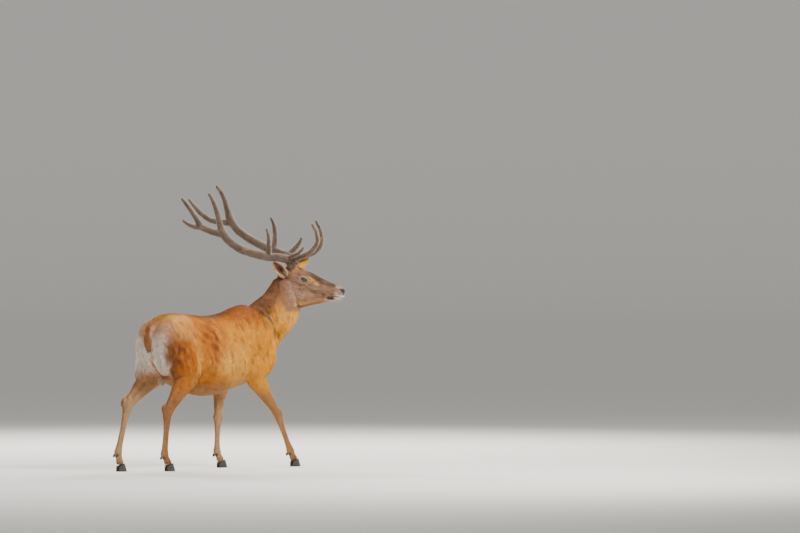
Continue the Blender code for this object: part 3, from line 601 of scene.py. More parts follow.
# Muscles, bones and folds of the trunk and neck, left side: ends, radius, height.
BODY_FEATURES = both_sides([
    ((0.345, 0.105, 1.140), (0.450, 0.140, 0.930), 0.030, 0.003),      # spine of the shoulder blade
    ((0.225, 0.180, 1.030), (0.262, 0.185, 0.740), 0.045, -0.006),     # behind the shoulder
    ((0.440, 0.060, 1.195), (0.590, 0.120, 0.950), 0.026, -0.010),     # between neck and shoulder
    ((0.590, 0.120, 0.950), (0.560, 0.060, 0.780), 0.030, -0.005),
    ((0.300, 0.165, 0.800), (0.350, 0.150, 0.700), 0.050, 0.009),      # triceps
    ((0.500, 0.120, 0.900), (0.530, 0.100, 0.780), 0.045, 0.008),      # point of the shoulder
    ((-0.235, 0.160, 1.040), (-0.215, 0.185, 0.900), 0.060, -0.012),   # hollow of the flank
    ((-0.340, 0.130, 1.100), (-0.340, 0.135, 1.095), 0.036, 0.008),    # point of the hip
    ((-0.600, 0.075, 1.020), (-0.600, 0.075, 1.010), 0.035, 0.006),    # pin bone
    ((-0.470, 0.170, 1.050), (-0.480, 0.180, 0.760), 0.022, -0.006),   # between the thigh's muscles
    ((-0.350, 0.175, 0.900), (-0.330, 0.175, 0.760), 0.070, 0.007),
    ((-0.270, 0.165, 0.700), (-0.160, 0.190, 0.790), 0.022, 0.007),    # fold of the flank
    ((-0.200, 0.185, 0.700), (-0.150, 0.190, 0.640), 0.030, -0.006),
    ((-0.630, 0.022, 1.020), (-0.560, 0.022, 0.760), 0.020, -0.012),   # between the buttocks
    ((0.590, 0.080, 1.080), (0.690, 0.010, 1.300), 0.026, -0.005),     # furrow along the neck
    ((0.560, 0.105, 1.170), (0.650, 0.020, 1.330), 0.035, 0.004),
])

# The face, in the head's frame, left side: ends, radius, height.
FACE_FEATURES = both_sides([
    ((0.070, 0.068, 0.080), (0.126, 0.062, 0.074), 0.014, 0.0085),     # brow
    ((0.070, 0.078, 0.026), (0.125, 0.072, 0.022), 0.013, 0.0050),     # rim below the eye
    ((0.118, 0.066, 0.020), (0.200, 0.050, -0.008), 0.013, 0.0050),    # cheek bone
    ((0.126, 0.066, 0.034), (0.158, 0.056, 0.016), 0.0060, -0.0065),   # gland before the eye
    ((0.022, 0.080, -0.050), (0.060, 0.074, -0.105), 0.040, 0.0055),   # chewing muscle
    ((0.135, 0.064, -0.040), (0.250, 0.044, -0.036), 0.024, -0.0070),  # hollow of the cheek
    ((-0.052, 0.064, 0.030), (-0.040, 0.066, -0.100), 0.020, -0.0075),  # behind the jaw
    ((-0.020, 0.060, -0.120), (0.120, 0.040, -0.140), 0.014, 0.0050),  # edge of the jaw
    ((0.120, 0.040, -0.140), (0.290, 0.024, -0.074), 0.010, 0.0030),
    ((0.160, 0.034, 0.090), (0.330, 0.027, 0.050), 0.010, 0.0034),     # edge of the nose bone
    ((0.180, 0.052, 0.048), (0.320, 0.040, 0.022), 0.017, -0.0045),
    ((0.382, 0.036, 0.030), (0.404, 0.030, 0.006), 0.011, 0.0040),     # wing of the nostril
    ((0.330, 0.040, -0.014), (0.396, 0.034, -0.010), 0.012, 0.0030),   # upper lip
    ((0.010, 0.020, 0.124), (0.060, 0.012, 0.120), 0.030, 0.0030),     # forehead
    ((0.150, 0.000, 0.104), (0.300, 0.000, 0.066), 0.012, -0.0016),    # along the nose
    ((0.004, 0.043, 0.100), (-0.006, 0.045, 0.130), 0.020, 0.0020),    # foot of the antler
    ((-0.018, 0.070, 0.060), (-0.030, 0.085, 0.070), 0.026, 0.0100),   # root of the ear
])

# Eyes, nostrils and mouth, in the head's frame, left side.
EYE_AT, EYE_RADIUS = (0.102, 0.0650, 0.050), 0.0195
EYE_OUT = unit(np.array((0.20, 0.955, 0.22)))
EYE_ALONG = (0.90, -0.02, -0.40)        # toward the inner corner, which is lower
LID_HALF, LID_UPPER, LID_LOWER = 0.0203, 0.0118, 0.0092
LID_THICK = 0.0021
NOSTRIL = (0.3910, 0.0285, 0.0235)
NOSTRIL_OUT, NOSTRIL_ALONG = (0.50, 0.85, 0.18), (-0.66, 0.30, 0.69)
MOUTH = np.array([
    (0.4165, 0.000, -0.0225), (0.4040, 0.022, -0.0240), (0.3800, 0.0355, -0.0265), (0.3500, 0.0385, -0.0325),
    (0.3220, 0.0395, -0.0385), (0.3000, 0.0405, -0.0395)])
MOUTH_FLAT = (1.0, 0.35, 1.0)           # distances to the mouth count this much of y, as the lips curve round
# Reach of three ever finer meshes round the eyes, the mouth and the nostrils.
FINE_REACHES = ((0.044, 0.026, 0.036), (0.034, 0.009, 0.021), (0.0235, 0.0, 0.0))


def leg_features(leg, joints):
    """Tendons, joints and hollows of one leg: ends, radius, height."""
    elbow, knee, fetlock = np.array(joints[1:4])
    out = np.array((0.0, math.copysign(1.0, elbow[1]), 0.0))
    ahead = np.array((1.0, 0.0, 0.0))
    cannon = fetlock - knee
    found = []
    for side in (out, -out):
        found.append((knee + 0.22 * cannon + 0.021 * side - 0.010 * ahead,
                      knee + 0.82 * cannon + 0.020 * side - 0.010 * ahead, 0.007, -0.0035))
        found.append((fetlock + 0.024 * side, fetlock + 0.024 * side, 0.016, 0.003))
    shin = knee - elbow
    if leg.startswith("fore"):
        found.append((knee + 0.030 * ahead, knee + 0.030 * ahead, 0.020, 0.004))
        found.append((knee - 0.032 * ahead + 0.008, knee - 0.030 * ahead, 0.013, 0.007))
        found.append((elbow + 0.35 * shin + 0.05 * out, elbow + 0.7 * shin + 0.03 * out, 0.016, -0.004))
        return found
    behind = np.cross(unit(shin), (0.0, 1.0, 0.0))
    behind = behind if behind[0] < 0 else -behind
    for side in (out, -out):
        found.append((elbow + 0.45 * shin + 0.040 * behind + 0.034 * side,
                      knee - 0.06 * unit(shin) + 0.030 * behind + 0.022 * side, 0.015, -0.011))
    found.append((knee + 0.026 * out, knee + 0.026 * out, 0.022, 0.003))
    return found


def on_head(points):
    """1 on the head in front of the neck, 0 elsewhere. Also gives the points in the head's frame."""
    head = in_head(points)
    near = fade(np.linalg.norm(head - (0.18, 0.0, -0.02), axis=1), 0.36, 0.30)
    return fade(head[:, 0], -0.10, 0.05) * near, head


def coat_depth(points):
    """How far the skin lies under the tips of the coat."""
    share, head = on_head(points)
    depth = np.full(len(points), BODY_DEPTH)
    depth = blend(depth, LEG_DEPTH, fade(points[:, 2], 0.56, 0.40))
    depth = blend(depth, FOOT_DEPTH, fade(points[:, 2], 0.22, 0.06))
    return blend(depth, HEAD_DEPTH - MUZZLE_LESS * fade(head[:, 0], 0.18, 0.34), share)


def eye_frame(side):
    """The eye's middle and its directions: along the slit, up across it and out of the head."""
    out = on_side(EYE_OUT, side)
    along = square_to(on_side(EYE_ALONG, side), out)
    up = np.cross(out, along) * -side
    up = up if up[2] > 0 else -up
    return on_side(EYE_AT, side), along, up, out


def lid_shape(along, up):
    """Distance outside the slit between the lids, negative within it."""
    half = np.where(up > 0, LID_UPPER, LID_LOWER)
    skew = along / LID_HALF - 0.10
    high = half * np.clip(1 - np.clip(np.abs(skew), 0, 1) ** 2.2, 0, 1) ** 0.75
    return np.where(np.abs(skew) < 1, np.abs(up) - high, np.hypot(np.abs(along) - LID_HALF, up))


def eye_place(points, side):
    """Where points lie when laid on the eyeball.

    Gives the place along the slit and up across it, how far they face out, their distance and direction.
    """
    middle, along, up, out = eye_frame(side)
    local = points - middle
    reach = np.maximum(np.linalg.norm(local, axis=1), 1e-6)
    aim = local / reach[:, None]
    return EYE_RADIUS * (aim @ along), EYE_RADIUS * (aim @ up), aim @ out, reach, aim


def shape_lids(points):
    """Lays the skin round the eyeballs as lids. Points are in the head's frame."""
    for side in (1, -1):
        a, u, facing, reach, aim = eye_place(points, side)
        gap = lid_shape(a, u)
        radius = EYE_RADIUS + LID_THICK * fade(gap, -0.0003, 0.0010) - 0.0040 * fade(gap, 0.0002, -0.0012)
        radius += 0.0005 * bell(gap - 0.0018, 0.0010)
        radius -= 0.0012 * bell(gap - 0.0058, 0.0013) * (u > 0)
        near = fade(reach, 0.0340, 0.0225) * fade(facing, 0.10, 0.40)
        points = blend(points, eye_frame(side)[0] + aim * radius[:, None], near)
    return points


def mouth_gap(points):
    """Distance to the line of the mouth, and the height above it. Points are in the head's frame."""
    gap = nearest(folded(points) * MOUTH_FLAT, MOUTH * MOUTH_FLAT)[0]
    return gap, points[:, 2] - np.interp(points[:, 0], MOUTH[::-1, 0], MOUTH[::-1, 2])


def nostril_shape(points, side):
    """How far from the nostril's slit each point lies, 1 at its edge, and how far off the slit's plane."""
    out = unit(on_side(NOSTRIL_OUT, side))
    along = square_to(on_side(NOSTRIL_ALONG, side), out)
    across = np.cross(out, along) * side
    local = points - on_side(NOSTRIL, side)
    a, u = local @ across, local @ along
    width = 0.0036 + 0.0016 * fade(u, 0.006, -0.008)
    bend = a + 18 * u * u - 0.0008
    return np.hypot(bend / width, u / 0.0118), local @ out


def shape_muzzle(points, normals):
    """Sets the lower jaw back, opens the nostrils and parts the lips. Points are in the head's frame."""
    gap, height = mouth_gap(points)
    below = fade(height, 0.001, -0.006) * fade(points[:, 0], 0.285, 0.330)
    points[:, 1] *= 1 - 0.13 * below
    points[:, 0] -= 0.011 * below * fade(points[:, 0], 0.350, 0.412)
    rise = -0.0036 * bell(gap, 0.0019) + 0.0011 * bell(gap - 0.0052, 0.0026)
    rise *= fade(points[:, 0], 0.292, 0.312)
    for side in (1, -1):
        edge, out = nostril_shape(points, side)
        near = fade(np.abs(out), 0.020, 0.010)
        rise += near * (0.0012 * bell(edge - 1.5, 0.35) - 0.0095 * np.exp(-(edge ** 3.0)))
    groove = to_line(folded(points), (0.423, 0.0, 0.004), (0.418, 0.0, -0.022))[0]
    rise -= 0.0016 * bell(groove, 0.0016)
    return points + normals * rise[:, None]


def fine_parts(points, eye, mouth, nostril):
    """The points within these distances of the eyes, the mouth and the nostrils."""
    head = in_head(points)
    wanted = np.linalg.norm(folded(head) - EYE_AT, axis=1) < eye
    wanted |= (mouth_gap(head)[0] < mouth) & (np.linalg.norm(head - (0.37, 0, 0), axis=1) < 0.10)
    return wanted | (np.linalg.norm(folded(head) - NOSTRIL, axis=1) < nostril)


def shape_face(mesh):
    for reach in FINE_REACHES:
        subdivide(mesh, fine_parts(points_of(mesh), *reach))
        relax(mesh, FACE_RELAX, fine_parts(points_of(mesh), *reach).astype(float))
    points = shape_muzzle(in_head(points_of(mesh)), normals_of(mesh) @ HEAD_IN[:3, :3].T)
    move_to(mesh, out_of_head(shape_lids(points)))


def skin_mesh():
    """The whole skin, without a seam, with the face's lids, nostrils and lips."""
    head = level_loft(HEAD)
    head.transform(HEAD_PLACE)
    forms = [level_loft(TRUNK), bent_loft(NECK, (1.0, 0.0, -0.6)), bent_loft(TAIL, (1.0, 0.0, 0.3)), head]
    forms += [bent_loft(leg_stations(*leg), (1.0, 0.0, 0.0)) for leg in LEGS.values()]
    forms += [ellipsoid(*mass) for mass in MASSES]
    for side in BEAMS:
        stub = loft(tube_rings(outward(PEDICLE, side), PEDICLE_AROUND))
        stub.transform(HEAD_PLACE)
        forms.append(stub)
    mesh = grown_together(forms, SKIN_VOXEL)
    relax(mesh, FIRST_RELAX, 1 - 0.6 * fade(points_of(mesh)[:, 2], 0.50, 0.36))
    points = points_of(mesh)
    subdivide(mesh, (points[:, 2] < 0.60) | (on_head(points)[0] > 0.3))
    relax(mesh, LATER_RELAX)
    swell(mesh, BODY_FEATURES, points_of(mesh))
    for leg, (_, joints) in LEGS.items():
        swell(mesh, leg_features(leg, joints), points_of(mesh))
    swell(mesh, FACE_FEATURES, in_head(points_of(mesh)))
    points = points_of(mesh)
    points = points - normals_of(mesh) * coat_depth(points)[:, None]
    points[:, 2] = np.maximum(points[:, 2], SOLE_LEVEL)
    move_to(mesh, points)
    shape_face(mesh)
    return mesh


# ---------------------------------------------------------------- markings
# Colours of the coat, from dark to pale.
BODY = (0.660, 0.220, 0.018)
RUST = (0.300, 0.078, 0.015)
GOLD = (0.860, 0.375, 0.022)
STRAW = (0.930, 0.510, 0.100)
CROUP = (0.930, 0.485, 0.140)
SPINE = (0.170, 0.070, 0.030)
GREY_RUST = (0.680, 0.410, 0.260)
NECK_TOP = (0.200, 0.092, 0.048)
NECK_SIDE = (0.300, 0.128, 0.056)
FACE = (0.350, 0.190, 0.118)
CHEEK = (0.540, 0.320, 0.205)
BROW = (0.105, 0.058, 0.040)
PALE = (0.640, 0.480, 0.340)
JAW_GREY = (0.330, 0.265, 0.240)
CHIN = (0.860, 0.780, 0.660)
NOSE = (0.022, 0.017, 0.015)
MOUTH_SPOT = (0.060, 0.032, 0.020)
RUMP = (0.860, 0.790, 0.700)
# dark edge of the rump patch, also used for painted shade in the cleft and in the flank's pit
RUMP_EDGE_AND_SHADE = (0.110, 0.046, 0.022)
TAIL_TOP = (0.400, 0.140, 0.040)
BELLY = (0.600, 0.330, 0.150)
LEG = (0.400, 0.200, 0.085)
LEG_FRONT = (0.250, 0.122, 0.055)
LEG_INNER = (0.620, 0.400, 0.215)

NECK_FOOT = np.array(NECK[1][:3])       # where the neck rises out of the shoulders
# Line of a painted highlight along the fold of the flank.
FLANK_FOLD = [(-0.300, 0, 0.960), (-0.262, 0, 0.860), (-0.262, 0, 0.760), (-0.320, 0, 0.660)]
# Line of painted shade in the crease before the shoulder.
NECK_CREASE = [(0.370, 0, 1.215), (0.485, 0, 1.105), (0.565, 0, 0.960)]
# Lines on the face, in the head's frame, left side: points, reach, soft edge.
FACE_LINES = {
    "jaw edge": ([(0.030, 0.05, -0.150), (0.200, 0.03, -0.110), (0.300, 0.03, -0.072)], 0.010, 0.026),
    "eye streak": ([(0.120, 0.060, 0.072), (0.160, 0.050, 0.060), (0.215, 0.046, 0.034)], 0.004, 0.018),
    "behind eye": ([(0.060, 0.070, 0.052), (0.078, 0.068, 0.045)], 0.004, 0.014),
    "jaw": ([(-0.045, 0.07, 0.010), (-0.035, 0.07, -0.120)], 0.010, 0.030),
    "gland": ([(0.124, 0.066, 0.040), (0.155, 0.058, 0.020), (0.195, 0.048, 0.002)], 0.004, 0.008),
}


def laid(count, plain, *layers):
    """A plain colour for this many points, with layers of other colours over it, each by its share."""
    colour = np.tile(np.array(plain), (count, 1))
    for over, share in layers:
        colour = blend(colour, over, np.clip(share, 0, 1))
    return colour


def body_colour(points, normals):
    """Markings of the trunk, neck, legs and tail."""
    x, y, z = points.T
    ahead, out, up = normals.T
    wide = np.abs(y)
    level = points * (1, 0, 1)
    patch = noise(points, (0.11, 0.16, 0.13), 1)
    streak = noise(points + 0.35 * points[:, [2, 0, 1]] * (1, 0, 0), (0.022, 0.05, 0.050), 2)
    fleck = noise(points, (0.010, 0.014, 0.022), 3)
    side = fade(np.abs(out), 0.25, 0.70)

    # Trunk: pale croup and ribs, rusty flank and elbow, dark withers, painted highlight on the flank's fold,
    # painted shade on the thigh.
    croup = fade(x, -0.24, -0.34) * fade(x, -0.58, -0.48) * fade(z, 0.94, 1.00)
    ribs = blob(level, (0.080, 0.0, 0.760), (0.170, 1.0, 0.130)) * side
    flank = blob(level, (-0.095, 0.0, 0.960), (0.055, 1.0, 0.130))
    # painted shade on the side of the thigh
    thigh = blob(level, (-0.475, 0.0, 0.860), (0.110, 1.0, 0.105))
    elbow = blob(level, (0.290, 0.0, 0.800), (0.040, 1.0, 0.120))
    rust_and_thigh_shade = np.maximum(np.maximum(flank, thigh), 0.65 * elbow) * side
    fold_highlight = near_line(level, FLANK_FOLD, 0.012, 0.040)
    top = fade(up, 0.55, 0.93) * fade(wide, 0.090, 0.030)
    withers = fade(x, -0.60, 0.10)
    under = fade(-up, 0.35, 0.85) * fade(z, 0.78, 0.66) * fade(z, 0.40, 0.52)
    # painted shade in the pit between the thigh and the belly
    pit_shade = blob(level, (-0.285, 0.0, 0.695), (0.050, 1.0, 0.030)) * fade(wide, 0.10, 0.13)

    # Neck: dark crest, brown sides, golden throat, painted shade in the crease before the shoulder.
    height = (points - NECK_FOOT) @ unit(NECK[5][:3] - NECK_FOOT)
    behind = (points - NECK_FOOT) @ np.array((-0.80, 0.05, 0.60))
    on_neck = fade(height, 0.02, 0.11) * fade(x, 0.36, 0.47)
    rising = z - 0.25 * (x - 0.50) + 0.09 * (streak - 0.5)
    golden = on_neck * fade(behind, 0.130, 0.060) * fade(rising, 1.215, 1.110)
    crease_shade = near_line(level, NECK_CREASE, 0.006, 0.020)

    # Legs: dark in front, pale inside and behind, brown hams.
    inner_side = -out * np.sign(y)
    ham = fade(-ahead, 0.10, 0.70) * fade(x, -0.38, -0.48) * fade(z, 0.76, 0.70) * fade(z, 0.42, 0.52)

    # Rump: a pale patch on each buttock, with a dark outer edge, and painted shade in the cleft between them.
    rear = fade(-ahead, -0.10, 0.22) * fade(x, -0.46, -0.54)
    ragged = 0.022 * (streak - 0.5) + 0.010 * (fleck - 0.5)
    outer = np.interp(z, (0.66, 0.74, 0.86, 1.00), (0.128, 0.150, 0.164, 0.160)) + ragged
    apart = np.abs(y - np.interp(z, (0.70, 0.80, 0.875), (-0.055, -0.025, 0.0)))
    inner = np.interp(z, (0.68, 0.80, 0.88), (0.030, 0.012, -0.030)) + 0.6 * ragged
    high = fade(z + 2 * ragged, 1.060, 0.940) * fade(z + 2.5 * ragged + 0.30 * (wide - 0.1), 0.655, 0.775)
    upper = fade(x, -0.43, -0.54) * fade(wide, 0.185, 0.130) * fade(z, 1.125, 1.060) * fade(z, 0.93, 0.99)
    edge = fade(wide, outer + 0.034, outer + 0.014) * fade(wide, outer - 0.014, outer + 0.004)
    pale = rear * high * fade(wide, outer + 0.010, outer - 0.014) * fade(apart, inner - 0.010, inner + 0.016)
    speckle = 0.35 * fade(fleck, 0.55, 0.85) + 0.25 * fade(streak, 0.60, 0.85)
    cleft_shade = rear * fade(apart, inner + 0.004, inner - 0.012) * fade(z, 0.90, 0.86) * fade(z, 0.64, 0.70)
    scrotum = blob(points, (-0.480, 0.0, 0.660), (0.050, 0.045, 0.055))

    return laid(
        len(points), BODY,
        (GOLD, 0.90 * fade(x, -0.02, 0.08) * fade(z, 1.12, 1.02) * side),
        (CROUP, croup * (0.45 + 0.70 * patch)),
        (STRAW, 0.55 * fade(x, 0.50, 0.60) * fade(z, 0.70, 0.80)),
        (STRAW, ribs * (0.55 + 0.8 * patch)),
        # rusty flank and elbow, with painted shade on the thigh
        (RUST, rust_and_thigh_shade * fade(streak + 0.5 * fleck, 0.45, 0.95) * 1.1),
        # painted highlight along the fold of the flank
        (STRAW, fold_highlight * side * 0.50),
        # mottled streaks all over
        (RUST, 0.55 * fade(streak, 0.60, 0.85) * fade(z, 0.60, 0.80)),
        (STRAW, 0.32 * fade(streak, 0.36, 0.14) * fade(z, 0.60, 0.80)),
        # dark line along the back, the belly, and painted shade in the pit between thigh and belly
        (SPINE, top * (0.35 + 0.55 * withers) * fade(z, 0.90, 1.05)),
        (RUST, fade(wide, 0.130, 0.06) * fade(x, 0.02, 0.20) * fade(z, 1.06, 1.13) * 0.6),
        (BELLY, under * 0.9),
        (RUMP_EDGE_AND_SHADE, 0.55 * pit_shade),
        # neck
        (NECK_SIDE, on_neck * 0.9),
        (NECK_TOP, on_neck * np.maximum(fade(behind, 0.03, 0.13), fade(z, 1.22, 1.34)) * 0.6),
        (GOLD, golden * (0.75 + 0.4 * patch)),
        (STRAW, golden * fade(streak, 0.42, 0.65) * 0.8),
        (NECK_TOP, on_neck * fade(streak + 0.3 * fleck, 0.75, 1.05) * 0.5),
        # painted shade in the crease before the shoulder
        (SPINE, crease_shade * fade(wide, 0.03, 0.08) * (0.35 + 0.5 * fade(streak, 0.3, 0.6))),
        # legs
        (LEG, fade(z, 0.66, 0.48) * 0.85),
        (LEG_FRONT, fade(z, 0.58, 0.42) * fade(ahead, 0.25, 0.85) * 0.75),
        (LEG_INNER, fade(inner_side, 0.15, 0.75) * fade(z, 0.78, 0.62) * 0.75),
        (LEG_INNER, fade(-ahead, 0.30, 0.90) * fade(z, 0.40, 0.30) * 0.45),
        (NECK_SIDE, ham * (0.35 + 0.5 * patch)),
        (LEG_FRONT, fade(z, 0.105, 0.055) * 0.7),
        # rump and tail
        (GREY_RUST, upper * 0.85),
        (RUMP_EDGE_AND_SHADE, edge * fade(x, -0.42, -0.50) * fade(z, 1.02, 0.95) * fade(z, 0.66, 0.72) * 0.60),
        (RUMP, pale * (0.92 - speckle)),
        # painted shade in the cleft between the buttocks
        (RUMP_EDGE_AND_SHADE, cleft_shade * 0.80),
        (PALE, fade(scrotum, 0.35, 0.75) * 0.85),
        (TAIL_TOP, tail_share(points) * 0.95),
    )


def tail_share(points):
    """1 on the tail."""
    z = points[:, 2]
    wide = np.interp(z, (0.880, 0.910, 0.950, 1.060), (0.010, 0.024, 0.037, 0.030))
    gap = nearest(points, [row[:3] for row in TAIL])[0] / wide
    return fade(gap, 1.12, 0.92) * fade(z, 1.115, 1.075) * fade(z, TAIL[-1][2] - 0.012, TAIL[-1][2] + 0.004)


def face_colour(head):
    """Markings of the head, for points in its own frame."""
    x, y, z = head.T
    wide = np.abs(y)
    here = folded(head)
    patch = noise(head, (0.05, 0.05, 0.03), 4)
    streak = noise(head, (0.030, 0.012, 0.010), 5)
    height = mouth_gap(head)[1]
    cheek = blob(here, (0.115, 0.070, -0.070), (0.095, 0.060, 0.062))
    bridge = fade(wide, 0.056, 0.042) * fade(z, 0.030, 0.050) * fade(x, 0.10, 0.17) * fade(x, 0.385, 0.34)
    crown = blob(here, (0.028, 0.032, 0.118), (0.034, 0.030, 0.030))
    ring = fade(np.linalg.norm(here - EYE_AT, axis=1), 0.036, 0.025)
    ring_high = 0.25 + 0.55 * fade(z + 0.5 * (x - EYE_AT[0]), 0.035, 0.062)
    on = {name: near_line(here, *line) for name, line in FACE_LINES.items()}
    band = fade(x + 0.020 * (streak + patch - 1), 0.335, 0.378) * fade(height, 0.004, 0.012)
    spot = blob(here, (0.326, 0.040, -0.050), (0.032, 0.026, 0.017))
    return laid(
        len(head), FACE,
        (NECK_SIDE, 0.45 * fade(patch, 0.35, 0.75)),
        (CHEEK, cheek * (0.45 + 0.60 * patch)),
        (NECK_SIDE, 0.55 * fade(x, 0.010, -0.055)),
        (STRAW, 0.30 * on["jaw edge"]),
        # dark forehead and bridge of the nose, golden crown
        (BROW, 0.85 * bridge),
        (BROW, 0.40 * fade(z, 0.085, 0.115) * fade(x, 0.10, 0.03)),
        (STRAW, crown * (0.45 + 0.60 * fade(streak, 0.35, 0.65))),
        # pale ring round the eye and the streak that runs down from it
        (PALE, ring * ring_high),
        (STRAW, on["eye streak"] * (0.30 + 0.60 * fade(streak, 0.35, 0.65))),
        (BROW, 0.45 * on["behind eye"]),
        (JAW_GREY, 0.55 * on["jaw"]),
        (BROW, on["gland"] * (0.25 + 0.75 * fade(streak, 0.60, 0.40))),
        # muzzle: grey sides, pale lips, white chin, dark spot by the corner of the mouth
        (BROW, 0.35 * fade(x, 0.27, 0.34) * fade(height, 0.010, 0.024)),
        (PALE, band * (0.30 + 0.50 * fade(streak, 0.30, 0.60))),
        (CHIN, 0.9 * fade(x + 0.020 * (streak - 0.5), 0.325, 0.372) * fade(height, 0.018, 0.008)),
        (CHIN, 0.6 * fade(x, 0.250, 0.330) * fade(z, -0.052, -0.066)),
        (MOUTH_SPOT, fade(spot, 0.20, 0.60)),
        # flecks all over
        (PALE, 0.30 * fade(streak, 0.62, 0.90)),
        (BROW, 0.45 * fade(streak, 0.40, 0.12)),
    )


def bare_share(head):
    """1 on the bare nose, the lids' rims, the lips and the insides of the nostrils."""
    x, y, z = head.T
    wide = np.abs(y)
    pad = fade(x, 0.386, 0.395) * fade(z, 0.050, 0.042) * fade(z, -0.016, -0.008) * fade(wide, 0.036, 0.031)
    share = np.maximum(pad, fade(mouth_gap(head)[0], 0.0034, 0.0022) * fade(x, 0.300, 0.315))
    for side in (1, -1):
        edge, out = nostril_shape(head, side)
        share = np.maximum(share, fade(edge, 2.1, 1.7) * fade(np.abs(out), 0.020, 0.010))
        a, u, facing, reach = eye_place(head, side)[:4]
        lids = fade(lid_shape(a, u), 0.0042, 0.0026) * fade(reach, 0.030, 0.026)
        share = np.maximum(share, lids * (facing > 0))
    return share


def coat_colour(points, normals):
    """The coat's own colour at each point, bare skin included."""
    share, head = on_head(points)
    back = head[:, 0] - 0.050 * fade(head[:, 2], -0.020, -0.100)
    face = fade(back, -0.075, 0.010) * fade(share, 0.05, 0.35) * fade(head[:, 2], -0.222, -0.180)
    colour = blend(body_colour(points, normals), face_colour(head), face)
    colour = colour * (0.86 + 0.28 * noise(points, (0.006, 0.006, 0.012), 6))[:, None]
    return blend(colour, NOSE, bare_share(head) * (share > 0.5))


# ---------------------------------------------------------------- the coat
# Each piece of the coat: how many tufts, its look and slot, and the tube its own map is unrolled from.
COATS = {
    "coat_head": (47000, "face_coat", ((-0.050, 0.0, -0.020), (0.330, 0.0, 0.005), (0, 0, -1), 0.07)),
    "coat_neck": (27000, "neck_coat", ((0.430, 0.0, 1.000), (0.700, -0.085, 1.370), (-0.8, 0.0, 0.6), 0.13)),
    "coat_shoulders": (38000, "body_coat", ((0.150, 0.0, 0.900), (0.430, 0.0, 0.920), (0, 0, 1), 0.18)),
    "coat_barrel": (40000, "body_coat", ((-0.350, 0.0, 0.870), (0.200, 0.0, 0.870), (0, 0, 1), 0.10)),
    "coat_rump": (42000, "body_coat", ((-0.360, 0.0, 0.880), (-0.520, 0.0, 0.880), (0, 0, 1), 0.20)),
    "coat_forelegs": (36000, "leg_coat", None),
    "coat_hindlegs": (44000, "leg_coat", None),
}
TAIL_TUBE = ((-0.600, -0.008, 1.060), (-0.652, -0.036, 0.895), (-1, 0, 0), 0.02)
NECK_UP = np.array((0.57, -0.20, 0.80))
DOWN_BACK = (-0.22, 0.0, -1.0)          # the way hair lies on the upper legs and the tail
LEG_LINES = {leg: np.array(joints, float) for leg, (sections, joints) in LEGS.items()}

BODY_HAIR, LEG_HAIR, FOOT_HAIR, FACE_HAIR = 0.021, 0.0125, 0.0075, 0.0105      # lengths
HAIR_WIDTH, WIDTH_BY_LENGTH = 0.0009, 0.058
LENGTH_SPREAD, RISE_SPREAD, COLOUR_SPREAD = (0.72, 1.22), (0.55, 1.25), 0.10

# Tufts: along, across and up, in lengths, widths and rises.
TUFT_SHAPE = np.array([
    (0.00, -0.42, -0.15), (0.00, 0.42, -0.15), (0.06, 0.00, 0.42), (0.55, -0.50, 0.40), (0.55, 0.50, 0.40),
    (0.55, 0.00, 0.85), (1.00, 0.00, 1.00)])
TUFT_FACES = np.array([
    (0, 2, 5), (0, 5, 3), (2, 1, 4), (2, 4, 5), (3, 5, 6),
    (5, 4, 6), (0, 3, 4), (0, 4, 1), (3, 6, 4), (0, 1, 2)])
WEDGE_SHAPE = np.array([(0.00, -0.50, -0.15), (0.00, 0.50, -0.15), (0.22, 0.00, 0.62), (1.00, 0.00, 1.00)])
WEDGE_FACES = np.array([(0, 2, 3), (2, 1, 3), (0, 3, 1), (0, 1, 2)])
PATCH = 0.003       # a tuft's share of its piece's map
HOOF_TOP = 0.056    # no hair grows below this height
ANTLER_FOOT, ANTLER_REACH, ANTLER_LEVEL = (-0.006, 0.045), 0.034, 0.133     # nor here, in the head's frame


def nearest_bone(points, line):
    """Distance to a line of bones, the nearest one's direction, the place along all, and the way out."""
    gap, number, share = nearest(points, line)
    steps = np.diff(line, axis=0)
    lengths = np.linalg.norm(steps, axis=1)
    ends = np.append(0.0, np.cumsum(lengths))
    out = points - line[number] - share[:, None] * steps[number]
    return gap, (steps / lengths[:, None])[number], (ends[number] + share * lengths[number]) / ends[-1], out


def laid_on(way, out):
    """Unit directions that lie on the surface and point the given way as far as they can."""
    return unit(way - out * (way * out).sum(1)[:, None] + 1e-9)


def turn_round(out, up, side):
    """How far round from up, toward side, each direction lies, from 0 to 1."""
    return np.arctan2((out * side).sum(1), (out * up).sum(1)) / (2 * math.pi) + 0.5


